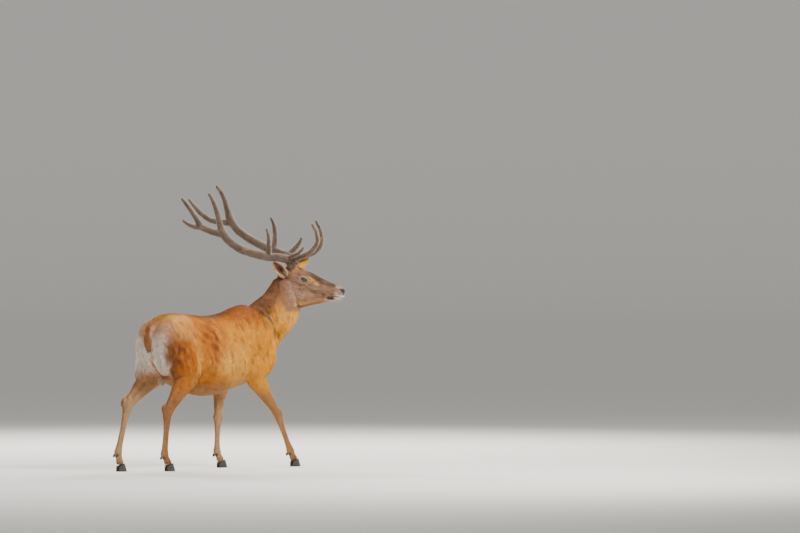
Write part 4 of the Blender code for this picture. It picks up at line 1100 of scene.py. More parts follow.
def coat_lie(points, normals):
    """The way the hair lies at each point, along the surface."""
    x, y, z = points.T
    back = -np.ones(len(points))
    side = fade(np.abs(normals[:, 1]), 0.2, 0.8)
    lie = np.stack([back, 0.10 * np.sign(y) * side, -0.12 - 0.50 * side], axis=1)
    lie = blend(lie, (-0.25, 0.0, -1.0), fade(x, -0.44, -0.58))
    low = fade(z, 0.86, 0.66) * np.maximum(fade(x, -0.22, -0.34), fade(x, 0.18, 0.34))
    lie = blend(lie, DOWN_BACK, low)
    lie = blend(lie, (0.10, 0.0, -1.0), fade(x, 0.46, 0.58))
    height = (points - NECK_FOOT) @ NECK_UP
    lie = blend(lie, -NECK_UP, fade(height, -0.02, 0.10) * fade(x, 0.34, 0.46))
    for line in LEG_LINES.values():
        gap, along = nearest_bone(points, line)[:2]
        lie = blend(lie, along, fade(z, 0.70, 0.56) * fade(gap, 0.110, 0.075))
    share, head = on_head(points)
    hx, hy, hz = head.T
    face = np.stack([back, 0.20 * np.sign(hy), -0.10 - 0.35 * fade(hz, 0.03, -0.06)], axis=1)
    face[:, 2] += 0.45 * fade(hz, 0.07, 0.11) * fade(hx, 0.12, 0.05)
    face = blend(face, (-0.8, 0.0, -0.6), fade(hx, 0.32, 0.37) * fade(hz, -0.03, -0.05))
    lie = blend(lie, face @ HEAD_OUT[:3, :3].T, share)
    lie = laid_on(blend(lie, DOWN_BACK, tail_share(points)), normals)
    swirl = 1.1 * (noise(points, 0.07, 11) - 0.5) + 0.7 * (noise(points, 0.022, 12) - 0.5)
    swirl = swirl * (1 - 0.5 * fade(z, 0.5, 0.3))
    swirl += DICE.normal(0, 0.13, len(points))
    return lie * np.cos(swirl)[:, None] + np.cross(normals, lie) * np.sin(swirl)[:, None]


def tube_place(points, a, b, up, radius):
    """Each point's place on the surface of a round-ended tube from a to b, both parts from 0 to 1."""
    a, b = np.array(a, float), np.array(b, float)
    axis = unit(b - a)
    up = square_to(np.array(up), axis)
    span = np.linalg.norm(b - a)
    along = np.clip((points - a) @ axis, 0, span)
    out = points - a - along[:, None] * axis
    cap = np.arcsin(np.clip(unit(out + 1e-9) @ axis, -1, 1))
    total = span + math.pi * radius
    return (along + radius * (cap + math.pi / 2)) / total, turn_round(out, up, np.cross(axis, up))


def leg_places(name, points):
    """Each point's place on its leg, how far down and round it. The two legs share the piece's map."""
    places = np.zeros((len(points), 2))
    lines = [line for leg, line in LEG_LINES.items() if leg[:4] in name]
    for half, line in enumerate(lines):
        here = (points[:, 1] > 0) == (line[-1, 1] > 0)
        along, down, out = nearest_bone(points[here], line)[1:]
        ahead = unit(np.cross((0.0, 1.0, 0.0), along))
        turn = turn_round(out, ahead, np.array((0.0, 1.0, 0.0)))
        places[here] = np.stack([down, (turn + half) / 2], axis=1)
    return places


def coat_piece(points):
    """The number in COATS of the piece that covers each point. Later rows go over earlier ones."""
    x, z = points[:, 0], points[:, 2]
    height = (points - NECK_FOOT) @ NECK_UP
    covers = [
        ("coat_barrel", np.full(len(points), True)),
        ("coat_shoulders", x > 0.13),
        ("coat_rump", x < -0.27),
        ("coat_neck", (height > 0.045) & (x > 0.40)),
    ]
    for leg, line in LEG_LINES.items():
        gap = nearest(points, line)[0]
        if leg.startswith("fore"):
            mine = (z < 0.50) & (x > -0.2) & (gap < 0.15) | (z < 0.64) & (gap < 0.075)
        else:
            mine = (z < 0.52) & (x < -0.2) & (gap < 0.2) | (z < 0.74) & (gap < 0.150) & (x < -0.27)
        covers.append((f"coat_{leg[:4]}legs", mine))
    covers.append(("coat_head", on_head(points)[0] > 0.25))
    piece = np.zeros(len(points), int)
    for name, mine in covers:
        piece[mine] = list(COATS).index(name)
    return piece


def hair_size(points):
    """Length, width and rise of the tufts at each point."""
    x, y, z = points.T
    length = BODY_HAIR + 0.006 * fade(x, 0.38, 0.50) + 0.004 * fade(z, 0.66, 0.58)
    length += 0.008 * fade(np.abs(y), 0.10, 0.06) * fade(x, -0.50, -0.58)
    length = blend(length, LEG_HAIR, fade(z, 0.62, 0.46))
    length = blend(length, FOOT_HAIR, fade(z, 0.34, 0.16))
    length += 0.010 * tail_share(points)
    share, head = on_head(points)
    hx, hz = head[:, 0], head[:, 2]
    face = FACE_HAIR - 0.0050 * fade(hx, 0.06, 0.34) + 0.006 * fade(hz, 0.09, 0.12) * fade(hx, 0.10, 0.02)
    face += (0.005 * fade(hz, -0.06, -0.10) * fade(hx, 0.30, 0.10)
             + 0.0035 * fade(hx, 0.34, 0.37) * fade(hz, -0.03, -0.05))
    for side in (1, -1):
        face -= 0.004 * fade(np.linalg.norm(head - on_side(EYE_AT, side), axis=1), 0.040, 0.026)
    length = blend(length, face, share)
    rise = np.minimum(coat_depth(points) * 0.80, length * 0.22)
    return length, HAIR_WIDTH + WIDTH_BY_LENGTH * length, rise


def tuft_mesh(name, roots, out, lies, sizes, colours, places, shape=WEDGE_SHAPE, faces=WEDGE_FACES):
    """Closed tapering tufts, one on each root, as one mesh with its own map. Sizes: length, width, rise."""
    count, corners = len(roots), len(shape)
    points = roots[:, None]
    for k, (way, size) in enumerate(zip((lies, np.cross(out, lies), out), sizes)):
        points = points + way[:, None] * (shape[:, k] * size[:, None])[..., None]
    mesh = bpy.data.meshes.new(name)
    mesh.vertices.add(count * corners)
    mesh.vertices.foreach_set("co", points.reshape(-1).astype(np.float32))
    every = (faces[None] + corners * np.arange(count)[:, None, None]).reshape(-1, 3)
    mesh.loops.add(every.size)
    mesh.loops.foreach_set("vertex_index", every.reshape(-1).astype(np.int32))
    mesh.polygons.add(len(every))
    mesh.polygons.foreach_set("loop_start", np.arange(0, every.size, 3, dtype=np.int32))
    mesh.update(calc_edges=True)
    paint(mesh, np.repeat(colours, corners, axis=0), np.tile(shape[:, 0], count))
    spot = np.stack([0.5 + shape[:, 1], shape[:, 0]], axis=1) * PATCH
    spot += np.stack([shape[:, 2], np.zeros(corners)], axis=1) * PATCH * 0.2
    flat = (places[:, None] * (1 - 2 * PATCH) + spot).reshape(-1, 2)
    uv = mesh.uv_layers.new(name="OFBake")
    uv.uv.foreach_set("vector", flat[every.reshape(-1)].reshape(-1).astype(np.float32))
    return mesh


def scattered(points, normals, triangles, weight, count):
    """Roots spread over the triangles by area and weight, each with the surface's direction there."""
    a, b, c = (points[triangles[:, k]] for k in range(3))
    area = np.linalg.norm(np.cross(b - a, c - a), axis=1) * weight
    picked = np.searchsorted(np.cumsum(area), (np.arange(count) + DICE.random(count)) / count * area.sum())
    picked = triangles[np.minimum(picked, len(triangles) - 1)]
    s, t = DICE.random((2, count))
    over = s + t > 1
    s, t = np.where(over, 1 - s, s), np.where(over, 1 - t, t)
    share = np.stack([1 - s - t, s, t], axis=1)[..., None]
    return (points[picked] * share).sum(1), unit((normals[picked] * share).sum(1))


def jittered(colours, spread):
    """Each tuft a little lighter or darker, warmer or cooler than its neighbours."""
    bright = np.exp(DICE.normal(0, spread, len(colours)))
    warm = DICE.normal(0, 0.03, len(colours))
    tint = np.stack([1 + warm, np.ones(len(warm)), 1 - warm], axis=1)
    return np.clip(colours * bright[:, None] * tint, 0, 1)


def coat_pieces(skin):
    """The pieces of the coat over the skin, as name and mesh."""
    points, normals, triangles, middles = surface_of(skin)
    piece = coat_piece(middles)
    head = in_head(middles)
    bald = (bare_share(head) > 0.35) & (on_head(middles)[0] > 0.5)
    bald |= middles[:, 2] < HOOF_TOP
    for side in (1, -1):
        bald |= np.linalg.norm(head - on_side(EYE_AT, side), axis=1) < EYE_RADIUS + 0.0005
        from_foot = np.linalg.norm(head[:, :2] - np.array(ANTLER_FOOT) * (1, side), axis=1)
        bald |= (from_foot < ANTLER_REACH) & (head[:, 2] > ANTLER_LEVEL)
    length, width, rise = hair_size(middles)
    weight = np.where(bald, 0.0, 1 / (length * width))
    for number, (name, (count, _, tube)) in enumerate(COATS.items()):
        mine = piece == number
        roots, out = scattered(points, normals, triangles[mine], weight[mine], count)
        lies = coat_lie(roots, out)
        length, width, rise = hair_size(roots)
        vary = DICE.uniform(*LENGTH_SPREAD, count)
        sizes = length * vary, width * vary ** 0.5, rise * DICE.uniform(*RISE_SPREAD, count)
        colours = jittered(coat_colour(roots, out), COLOUR_SPREAD)
        if tube is None:
            places = leg_places(name, roots)
        else:
            places = np.stack(tube_place(in_head(roots) if name == "coat_head" else roots, *tube), axis=1)
        yield name, tuft_mesh(name, roots, out, lies, sizes, colours, places)


# ---------------------------------------------------------------- antlers, ears, eyes and hooves
ANTLER_VOXEL, ANTLER_STEPS, ANTLER_AROUND, ANTLER_RELAX = 0.0042, 8, 24, 6
BURR_AT, BURR_UP, BURR_HIGH = (-0.002, 0.045, 0.128), unit(np.array((-0.16, 0.03, 1.0))), 0.007
VELVET_COUNT, VELVET_WIDTH, VELVET_LENGTHS, VELVET_RISES = 33000, 0.00075, (0.0032, 0.0058), (0.35, 0.75)
VELVET_FROM = 0.102         # velvet hair grows above this height in the head's frame
VELVET = (0.190, 0.120, 0.085)
VELVET_DARK = (0.075, 0.042, 0.032)
VELVET_TIP = (0.640, 0.480, 0.330)

EAR_STEPS, EAR_AROUND, EAR_VOXEL, EAR_RELAX = 10, 28, 0.0021, 5
EAR_COUNT, EAR_LENGTHS, EAR_RISES = 7500, (0.7, 1.2), (0.5, 1.2)
EAR_MIDDLE = 0.014          # the curl's middle lies this far behind the ear's own line, less its radius
RIDGE_HIGH, RIDGE_APART = 0.0012, 0.0105
EAR_INNER = (0.260, 0.120, 0.065)
EAR_HAIR = (0.680, 0.490, 0.320)
EAR_BACK = (0.760, 0.430, 0.120)
EAR_RIM = (0.620, 0.410, 0.220)

TAIL_COUNT, TAIL_LENGTHS, TAIL_LONGEST = 3600, (0.7, 1.0), 0.028

# The white of a deer's eye is dark too.
EYE_WHITE = (0.014, 0.008, 0.006)
IRIS = (0.022, 0.008, 0.003)
IRIS_PALE = (0.055, 0.022, 0.008)
PUPIL = (0.002, 0.002, 0.003)
PUPIL_LONG, PUPIL_HIGH = 0.44, 0.22
CORNEA_RISE = 0.0007
EYE_MESH, DEWCLAW_MESH = (96, 64), (40, 28)     # points round, and rows of them

# Claws: half length of the sole, its half width, the coronet's, and heights at heel and toe.
SOLE_LENGTH, SOLE_WIDTH = 0.041, 0.0135
TOP_LENGTH, TOP_WIDTH, TOP_BACK = 0.029, 0.0125, 0.010
TOP_HEIGHT, TOP_SLOPE = 0.050, 0.34
CLAW_APART, CLAW_INWARD = 0.0152, 0.0015    # the claw's middle, and how far its walls are set in from it
INNER_SHARE = 0.86                          # the inner side's width by the outer's
OUTER_TAPER, INNER_TAPER = 0.46, 0.10       # how much each side narrows at the toe: the toes lean together
CLAW_AROUND, CLAW_RINGS = 56, 30
HEEL_BULB, FINE_RIDGE, FINE_TURNS, BROAD_RIDGE, BROAD_TURNS = 0.0022, 0.00022, 46, 0.00016, 21
CORONET_SHARE, CORONET_RISE = 0.6, 0.0015   # the top's last ring: its size by the coronet's, and its rise
HOOF_AHEAD = 0.004                          # the hoof's middle stands this far before the end of the pastern

# Dewclaws: how far behind, below and beside the fetlock, half sizes, degrees turned.
DEWCLAW_BACK, DEWCLAW_DOWN, DEWCLAW_OUT = 0.028, 0.016, 0.017
DEWCLAW_SIZES, DEWCLAW_TURN = (0.0105, 0.0085, 0.016), 25.0


def antler_parts(side):
    """Rows of the antler's beam and of each tine."""
    return [outward(rows, side) for rows in [BEAMS[side]] + [rows for _, rows in TINES[side]]]


def antler_mesh(side):
    """One antler in velvet, its tines growing out of the beam without a joint."""
    forms = []
    for rows in antler_parts(side):
        forms.append(loft(tube_rings(curve_through(rows, ANTLER_STEPS), ANTLER_AROUND)))
        forms.append(ellipsoid(rows[-1, :3], (rows[-1, 3],) * 3, 0.0))
    mesh = grown_together(forms, ANTLER_VOXEL)
    relax(mesh, ANTLER_RELAX)
    points = points_of(mesh)
    burr_at = on_side(BURR_AT, SIDES[side])
    burr = bell(np.abs((points - burr_at) @ BURR_UP), BURR_HIGH)
    burr *= fade(np.linalg.norm(points - burr_at, axis=1), 0.060, 0.045)
    lumps = noise(points, 0.028, 21) + 0.5 * noise(points, 0.011, 22) - 0.75
    pearls = noise(points, 0.012, 23) - 0.5
    raise_by(mesh, 0.0022 * lumps + burr * (0.0050 + 0.004 * pearls) - 0.0010)
    return mesh


def velvet_colour(points):
    """Velvet's colour, for points in the head's frame."""
    x, z = points[:, 0], points[:, 2]
    patch = noise(points, 0.055, 24)
    vein = noise(points, (0.012, 0.012, 0.020), 25)
    return laid(
        len(points), VELVET,
        (VELVET_DARK, 0.75 * fade(patch + 0.4 * vein, 0.60, 1.05)),
        (VELVET_TIP, 0.30 * fade(vein, 0.60, 0.85)),
        (VELVET_DARK, 0.7 * fade(x, -0.11, -0.02) * fade(z, 0.19, 0.14)),
        (NECK_SIDE, 0.85 * fade(z + 0.02 * (vein - 0.5), 0.146, 0.126)),
    )


def along_antler(points, side):
    """The way to the tip of the nearest part of the antler, and the place along the whole."""
    best = np.full(len(points), FAR_OFF)
    way = np.zeros((len(points), 3))
    place = np.zeros(len(points))
    parts = antler_parts(side)
    for part_number, rows in enumerate(parts):
        line = curve_through(rows, 3)
        gap, number, share = nearest(points, line[:, :3], line[:, 3])
        near = gap < best
        best[near] = gap[near]
        way[near] = unit(np.diff(line[:, :3], axis=0))[number[near]]
        place[near] = (part_number + (number + share)[near] / (len(line) - 1)) / len(parts)
    return way, place


def velvet_mesh(antler, side):
    """Short soft hair all over the antler."""
    points, normals, triangles, middles = surface_of(antler)
    weight = (middles[:, 2] > VELVET_FROM).astype(float)
    roots, out = scattered(points, normals, triangles, weight, VELVET_COUNT)
    way, place = along_antler(roots, side)
    lies = laid_on(way, out)
    lies = unit(lies + 0.45 * np.cross(out, lies) * DICE.normal(0, 1, VELVET_COUNT)[:, None])
    length = DICE.uniform(*VELVET_LENGTHS, VELVET_COUNT)
    rise = length * DICE.uniform(*VELVET_RISES, VELVET_COUNT)
    sizes = length, np.full(VELVET_COUNT, VELVET_WIDTH), rise
    first = unit(np.cross(way, (0.2, 0.3, 0.9)))
    places = np.stack([place, turn_round(out, first, np.cross(way, first))], axis=1)
    colours = jittered(blend(velvet_colour(roots), VELVET_TIP, np.full(VELVET_COUNT, 0.18)), 0.20)
    return tuft_mesh("velvet_" + side, roots, out, lies, sizes, colours, places)


def ear_frame(side):
    """The ear's root and length, and its directions: to the tip, the way it faces and across."""
    root, tip, face = (np.array(v, float) for v in EARS[side])
    axis = unit(tip - root)
    face = square_to(face, axis)
    return root, np.linalg.norm(tip - root), axis, face, np.cross(axis, face)


def ear_mesh(side):
    """The ear as a curled leaf with a wall of its own."""
    root, length, axis, face, across = ear_frame(side)
    rings = []
    for share, radius, half in curve_through(EAR_CURL, EAR_STEPS):
        angle = np.radians(np.linspace(-half, half, EAR_AROUND))[:, None]
        wall = min(EAR_WALL, radius * 0.55)
        middle = root + axis * length * share - face * (EAR_MIDDLE - radius)
        outer = middle + radius * (np.sin(angle) * across - np.cos(angle) * face)
        inner = middle + (radius - wall) * (np.sin(angle) * across - np.cos(angle) * face)
        rings.append(np.vstack([outer, inner[::-1]]))
    count, ring = len(rings), 2 * EAR_AROUND
    faces = bands(count, ring)
    for row in (0, count - 1):
        for j in range(EAR_AROUND - 1):
            faces.append(tuple(row * ring + n for n in (j, j + 1, ring - 2 - j, ring - 1 - j)))
    return mesh_of(np.reshape(rings, (-1, 3)), faces)


def fine_ear(side):
    """The ear with a round edge and the ridges inside its hollow."""
    mesh = grown_together([ear_mesh(side)], EAR_VOXEL)
    relax(mesh, EAR_RELAX)
    root, length, axis, face, across = ear_frame(side)
    local = points_of(mesh) - root
    along = (local @ axis) / length
    inside = fade((normals_of(mesh) * face).sum(1), 0.1, 0.6)
    ridges = RIDGE_HIGH * np.sin((local @ across) / RIDGE_APART * 2 * math.pi) * inside
    raise_by(mesh, ridges * fade(along, 0.10, 0.3) * fade(along, 0.9, 0.6) - 0.0006)
    return mesh


def ear_look(points, normals, side):
    """Colour, share inside the hollow, and places along and across, for points in the head's frame."""
    root, length, axis, face, across = ear_frame(side)
    local = points - root
    along = (local @ axis) / length
    widths = [radius * math.sin(math.radians(min(half, 90))) for _, radius, half in EAR_CURL]
    edge = np.abs(local @ across) / np.interp(np.clip(along, 0, 1), [row[0] for row in EAR_CURL], widths)
    inside = fade((normals * face).sum(1), 0.0, 0.45)
    streak = noise(points, 0.009, 31)
    back = laid(
        len(points), EAR_BACK,
        (GOLD, 0.55 * fade(streak, 0.3, 0.8) + 0.25 * along),
        (BROW, 0.5 * fade(along, 0.80, 1.0)),
    )
    front = laid(
        len(points), EAR_INNER,
        (BROW, 0.80 * fade(edge, 0.55, 0.20) * fade(along, 0.10, 0.25) * fade(along, 0.85, 0.55)),
        (EAR_HAIR, 0.6 * fade(edge, 0.75, 0.98) + 0.7 * fade(along, 0.30, 0.10)),
    )
    colour = blend(blend(back, front, inside), EAR_RIM, 0.8 * fade(edge, 0.88, 1.0))
    return colour, inside, along, edge


def ear_coat(ear, side):
    """Short hair on the ear's back and long pale hair in its hollow."""
    points, normals, triangles, middles = surface_of(ear)
    root, length, axis, face, across = ear_frame(side)
    colour, inside, along, edge = ear_look(middles, unit(normals[triangles].mean(1)), side)
    weight = 1 - 0.75 * inside * fade(edge, 0.60, 0.25) * fade(along, 0.12, 0.3)
    roots, out = scattered(points, normals, triangles, weight * (along > 0.02), EAR_COUNT)
    colour, inside, along, edge = ear_look(roots, out, side)
    middle = np.sign((roots - root) @ across)[:, None] * across
    lies = laid_on(axis - inside[:, None] * middle * 0.75 * fade(edge, 0.3, 0.8)[:, None], out)
    lies = unit(lies + 0.22 * np.cross(out, lies) * DICE.normal(0, 1, EAR_COUNT)[:, None])
    length = 0.0070 + 0.010 * inside * (0.3 + 0.7 * fade(along, 0.7, 0.2))
    length = length * DICE.uniform(*EAR_LENGTHS, EAR_COUNT)
    rise = length * (0.14 + 0.22 * inside) * DICE.uniform(*EAR_RISES, EAR_COUNT)
    colours = jittered(blend(colour, EAR_HAIR, 0.45 * inside * fade(edge, 0.60, 0.95)), 0.14)
    places = np.stack([np.clip(along, 0, 1), turn_round(out, face, across)], axis=1)
    sizes = length, 0.0006 + 0.055 * length, rise
    return tuft_mesh("coat_ear_" + side, roots, out, lies, sizes, colours, places)


def tail_locks(skin):
    """Longer hair down the tail, hanging past its end."""
    points, normals, triangles, middles = surface_of(skin)
    weight = tail_share(middles) * (0.5 + fade(middles[:, 2], 1.05, 0.88))
    roots, out = scattered(points, normals, triangles, weight, TAIL_COUNT)
    lies = np.array((-0.05, -0.03, -1.0)) + 0.10 * out + DICE.normal(0, 0.06, (TAIL_COUNT, 3))
    lies = unit(lies - 0.92 * out * (lies * out).sum(1)[:, None])
    length = np.minimum(TAIL_LONGEST, 0.006 + roots[:, 2] - TAIL[-1][2])
    length = length * DICE.uniform(*TAIL_LENGTHS, TAIL_COUNT)
    colours = jittered(body_colour(roots, out), 0.14)
    places = np.stack(tube_place(roots, *TAIL_TUBE), axis=1)
    sizes = length, 0.0011 + 0.05 * length, 0.12 * length
    return tuft_mesh("coat_tail", roots, out, lies, sizes, colours, places, TUFT_SHAPE, TUFT_FACES)


def eyeball_mesh(side):
    """The eyeball, its clear front standing a little proud, with the dark iris and its level pupil."""
    middle, along, up, out = eye_frame(SIDES[side])
    mesh = ellipsoid((0, 0, 0), (EYE_RADIUS,) * 3, 0.0, *EYE_MESH)
    aim = unit(points_of(mesh))
    a, u, facing = aim @ along, aim @ up, aim @ out
    points = aim * (EYE_RADIUS + CORNEA_RISE * fade(facing, 0.78, 0.93))[:, None]
    move_to(mesh, points + middle)
    radius = np.hypot(a, u)
    front = facing > 0
    iris = laid(len(points), IRIS, (IRIS_PALE, 0.8 * noise(points, 0.0010, 41) * fade(radius, 0.30, 0.60)))
    colour = blend(laid(len(points), EYE_WHITE), iris, fade(radius, 0.70, 0.64) * front)
    pupil = fade(np.hypot(a / PUPIL_LONG, u / PUPIL_HIGH), 1.08, 0.96) * front
    paint(mesh, blend(colour, PUPIL, pupil))
    return mesh


def claw_mesh(middle_x, middle_y, side):
    """One claw: flat sole, walls that draw in above it, a bulb at the heel and growth ridges."""
    forward, out = np.cos(angles_round(CLAW_AROUND)), np.sin(angles_round(CLAW_AROUND))
    toe = np.clip(forward, 0, 1) ** 2
    out = np.where(out > 0, out * (1 - OUTER_TAPER * toe), INNER_SHARE * out * (1 - INNER_TAPER * toe))
    claw_y, back_x = middle_y + side * CLAW_APART, middle_x - TOP_BACK
    rings = [[(middle_x, claw_y, 0.0)] * CLAW_AROUND]
    for share in np.linspace(0, 1, CLAW_RINGS):
        edge = 1 - 0.050 * bell(share, 0.030) - 0.06 * bell(1 - share, 0.05)
        length = SOLE_LENGTH + (TOP_LENGTH - SOLE_LENGTH) * share ** 0.85
        width = SOLE_WIDTH + (TOP_WIDTH - SOLE_WIDTH) * share - 0.0010 * math.sin(math.pi * share)
        ridge = FINE_RIDGE * math.sin(share * FINE_TURNS) * (0.3 < share)
        ridge += BROAD_RIDGE * math.sin(share * BROAD_TURNS + 1.0)
        heel = HEEL_BULB * np.clip(-forward, 0, 1) ** 3 * math.sin(math.pi * min(1.0, share * 1.15))
        x = middle_x + (length * edge + ridge) * forward - TOP_BACK * share ** 0.9 - heel
        y = middle_y + side * (CLAW_APART - CLAW_INWARD + (width * edge + ridge) * out)
        rings.append(np.stack([x, y, share * (TOP_HEIGHT + TOP_SLOPE * (x - back_x))], axis=1))
    middle = np.array((back_x, claw_y, 0.0))
    last = middle + (rings[-1] - middle) * (CORONET_SHARE, CORONET_SHARE, 1) + (0, 0, CORONET_RISE)
    return loft(rings + [last])


def dewclaw_mesh(at):
    """A small blunt claw that points down and back."""
    mesh = ellipsoid((0, 0, 0), DEWCLAW_SIZES, 0.0, *DEWCLAW_MESH)
    points = points_of(mesh)
    down = np.clip(-points[:, 2] / DEWCLAW_SIZES[2], -1, 1)
    points[:, 0] = points[:, 0] * (1 - 0.30 * fade(down, -0.2, 1.0)) - 0.0028 * fade(down, 0.0, 1.0)
    points[:, 1] *= 1 - 0.25 * fade(down, 0.0, 1.0)
    points += unit(points) * (0.00022 * np.sin(points[:, 2] * 2300))[:, None]
    turn = np.array(Matrix.Rotation(math.radians(DEWCLAW_TURN), 3, "Y"))
    move_to(mesh, points @ turn.T + at)
    return mesh


def hoof_mesh(leg):
    """Both claws of a foot with its dewclaws."""
    fetlock, end = LEG_LINES[leg][3:]
    down = unit(end - fetlock)
    behind = np.cross((0.0, 1.0, 0.0), down)
    forms = []
    for side in (1, -1):
        forms.append(claw_mesh(end[0] + TOP_BACK + HOOF_AHEAD, end[1], side))
        forms.append(dewclaw_mesh(fetlock + DEWCLAW_DOWN * down + DEWCLAW_BACK * behind
                                  + np.array((0.0, DEWCLAW_OUT * side, 0.0))))
    return joined(forms)


# ---------------------------------------------------------------- materials
# Hair: brightness at the root and the tip, grain a metre, roughness, sheen.
HAIR = {
    "summer_coat": (0.58, 1.20, 260.0, 0.66, 0.02),
    "short_face_hair": (0.66, 1.15, 420.0, 0.66, 0.02),
    "antler_velvet": (0.34, 2.30, 300.0, 0.80, 0.45),
}
HORN_SCUFFS = ((0.40, (0.014, 0.011, 0.009, 1)), (0.75, (0.075, 0.058, 0.044, 1)))
FLOOR = (0.72, 0.71, 0.69, 1)


class Look:
    """A new material, with short ways to add nodes and to set inputs."""

    def __init__(self, name, **settings):
        self.kind = bpy.data.materials.new(name)
        self.kind.use_nodes = True
        self.tree = self.kind.node_tree
        self.shader = self.tree.nodes["Principled BSDF"]
        self.fill(self.shader, {key.replace("_", " "): value for key, value in settings.items()})

    def fill(self, node, inputs):
        """Sets the node's inputs, each to a value or to another node's output."""
        for key, value in inputs.items():
            if isinstance(value, bpy.types.NodeSocket):
                self.tree.links.new(value, node.inputs[key])
            else:
                node.inputs[key].default_value = value

    def node(self, kind, inputs=(), output=0, **settings):
        """One output of a new node."""
        made = self.tree.nodes.new("ShaderNode" + kind)
        for key, value in settings.items():
            setattr(made, key, value)
        self.fill(made, dict(inputs))
        return made.outputs[output]

    def painted(self, output="Color"):
        return self.node("Attribute", (), output, attribute_name="hair", attribute_type="GEOMETRY")

    def texture(self, kind, scale, output=0, **settings):
        """A texture fixed to the object."""
        inputs = {"Vector": self.node("TexCoord", (), "Object"), "Scale": scale}
        inputs.update({key.replace("_", " "): value for key, value in settings.items()})
        return self.node("Tex" + kind, inputs, output)

    def ranged(self, value, low, high, to_low, to_high):
        """The value's range from low to high stretched over another."""
        names = ("Value", "From Min", "From Max", "To Min", "To Max")
        return self.node("MapRange", zip(names, (value, low, high, to_low, to_high)))

    def worked(self, operation, a, b):
        return self.node("Math", {0: a, 1: b}, operation=operation)

    def scaled(self, colour, by):
        return self.node("VectorMath", {0: colour, "Scale": by}, operation="SCALE")

    def bumped(self, height, strength, distance):
        return self.node("Bump", {"Height": height, "Strength": strength, "Distance": distance})

    def done(self, **sockets):
        """The material, with these outputs on its shader's sockets."""
        self.fill(self.shader, {key.replace("_", " "): value for key, value in sockets.items()})
        return self.kind


def hair_material(name):
    """Hair: the painted colour, darker at the roots, lighter at the tips, streaked and uneven in shine."""
    root, tip, grain, rough, sheen = HAIR[name]
    look = Look(name, Sheen_Weight=sheen, Sheen_Roughness=0.45, Specular_IOR_Level=0.20)
    fine = look.texture("Noise", grain, Detail=3.0, Roughness=0.6)
    broad = look.texture("Noise", grain / 16, Detail=2.0)
    along = look.ranged(look.painted("Alpha"), 0.0, 1.0, root, tip)
    bright = look.worked("MULTIPLY", look.ranged(fine, 0.25, 0.75, 0.80, 1.22), along)
    bright = look.worked("MULTIPLY", bright, look.ranged(broad, 0.3, 0.7, 0.90, 1.10))
    return look.done(
        Base_Color=look.scaled(look.painted(), bright),
        Roughness=look.ranged(fine, 0.2, 0.8, rough - 0.08, rough + 0.10),
        Normal=look.bumped(fine, strength=0.35, distance=0.001))


def horn_material():
    """Dark hoof horn with fine growth rings and paler scuffs."""
    look = Look("hoof_horn")
    rings = look.texture("Wave", 95.0, "Fac", Distortion=5.0, Detail=2.0, Detail_Scale=3.0)
    rings.node.bands_direction = "Z"
    scuffs = look.texture("Noise", 180.0, Detail=4.0)
    colour = look.node("ValToRGB", {"Fac": scuffs})
    for stop, (position, shade) in zip(colour.node.color_ramp.elements, HORN_SCUFFS):
        stop.position, stop.color = position, shade
    return look.done(
        Base_Color=colour,
        Roughness=look.ranged(scuffs, 0.0, 1.0, 0.28, 0.58),
        Normal=look.bumped(look.worked("ADD", rings, scuffs), strength=0.35, distance=0.0006))


def eye_material():
    """A wet eyeball: painted iris under a clear glossy coat."""
    look = Look("eye_wet", Roughness=0.12, Specular_IOR_Level=0.25, Coat_Weight=0.5, Coat_Roughness=0.02)
    return look.done(Base_Color=look.painted())


def skin_material():
    """The skin under the coat, in the coat's colours. Where it is bare it is pebbled and moist."""
    look = Look("skin_and_underfur")
    fine = look.texture("Noise", 420.0, Detail=3.0)
    pebbles = look.texture("Voronoi", 620.0, "Distance")
    bare = look.painted("Alpha")
    height = look.node("Mix", {0: bare, 2: fine, 3: pebbles}, data_type="FLOAT")
    return look.done(
        Base_Color=look.scaled(look.painted(), look.ranged(fine, 0.25, 0.75, 0.62, 1.05)),
        Roughness=look.ranged(bare, 0.0, 1.0, 0.78, 0.34),
        Normal=look.bumped(height, strength=0.5, distance=0.0008))


# ---------------------------------------------------------------- light, floor and camera
AZIMUTH, ELEVATION = -44.0, 0.7
FAR = 50.0
SPAN = 5.926          # width of the view at the stag
AIM_RIGHT, AIM_HEIGHT = 1.404, 1.4993
SENSOR = 36.0         # millimetres
CLIP_END = 200.0

# The floor's half width, where it begins to rise behind the stag, the sweep's radius, its top and its steps.
FLOOR_HALF, SWEEP_AT, SWEEP_RADIUS, WALL_TOP, SWEEP_STEPS = 160.0, 58.0, 20.0, 80.0, 24
ROOM_COLOUR, ROOM_STRENGTH = (1.0, 0.97, 0.93, 1), 0.30
# Weak even light on floor and backdrop: strength, softness in radians, degrees up.
WASH, WASH_SOFT, WASH_HIGH = 0.8, 0.9, 42.0
LIT_AT = (0.0, 0.0, 0.9)        # what the lamps stand round
# Lamps: azimuth, elevation, distance, size, power, colour.
LIGHTS = [
    ("key", 8.0, 36.0, 6.0, 2.2, 540.0, (1.0, 0.95, 0.87)),
    ("fill", -95.0, 30.0, 7.0, 4.0, 150.0, (0.96, 0.98, 1.0)),
    ("rim", 112.0, 34.0, 7.0, 2.2, 640.0, (1.0, 0.94, 0.85)),
    ("back", 165.0, 30.0, 7.0, 2.2, 520.0, (1.0, 0.96, 0.90)),
]


def placed(obj, aim, azimuth, elevation, distance):
    """Stands the lamp or camera this far off in this direction, looking at the aim."""
    a, e = math.radians(azimuth), math.radians(elevation)
    back = Vector((math.sin(a) * math.cos(e), -math.cos(a) * math.cos(e), math.sin(e)))
    obj.location = Vector(aim) + back * distance
    obj.rotation_euler = back.to_track_quat("Z", "Y").to_euler()


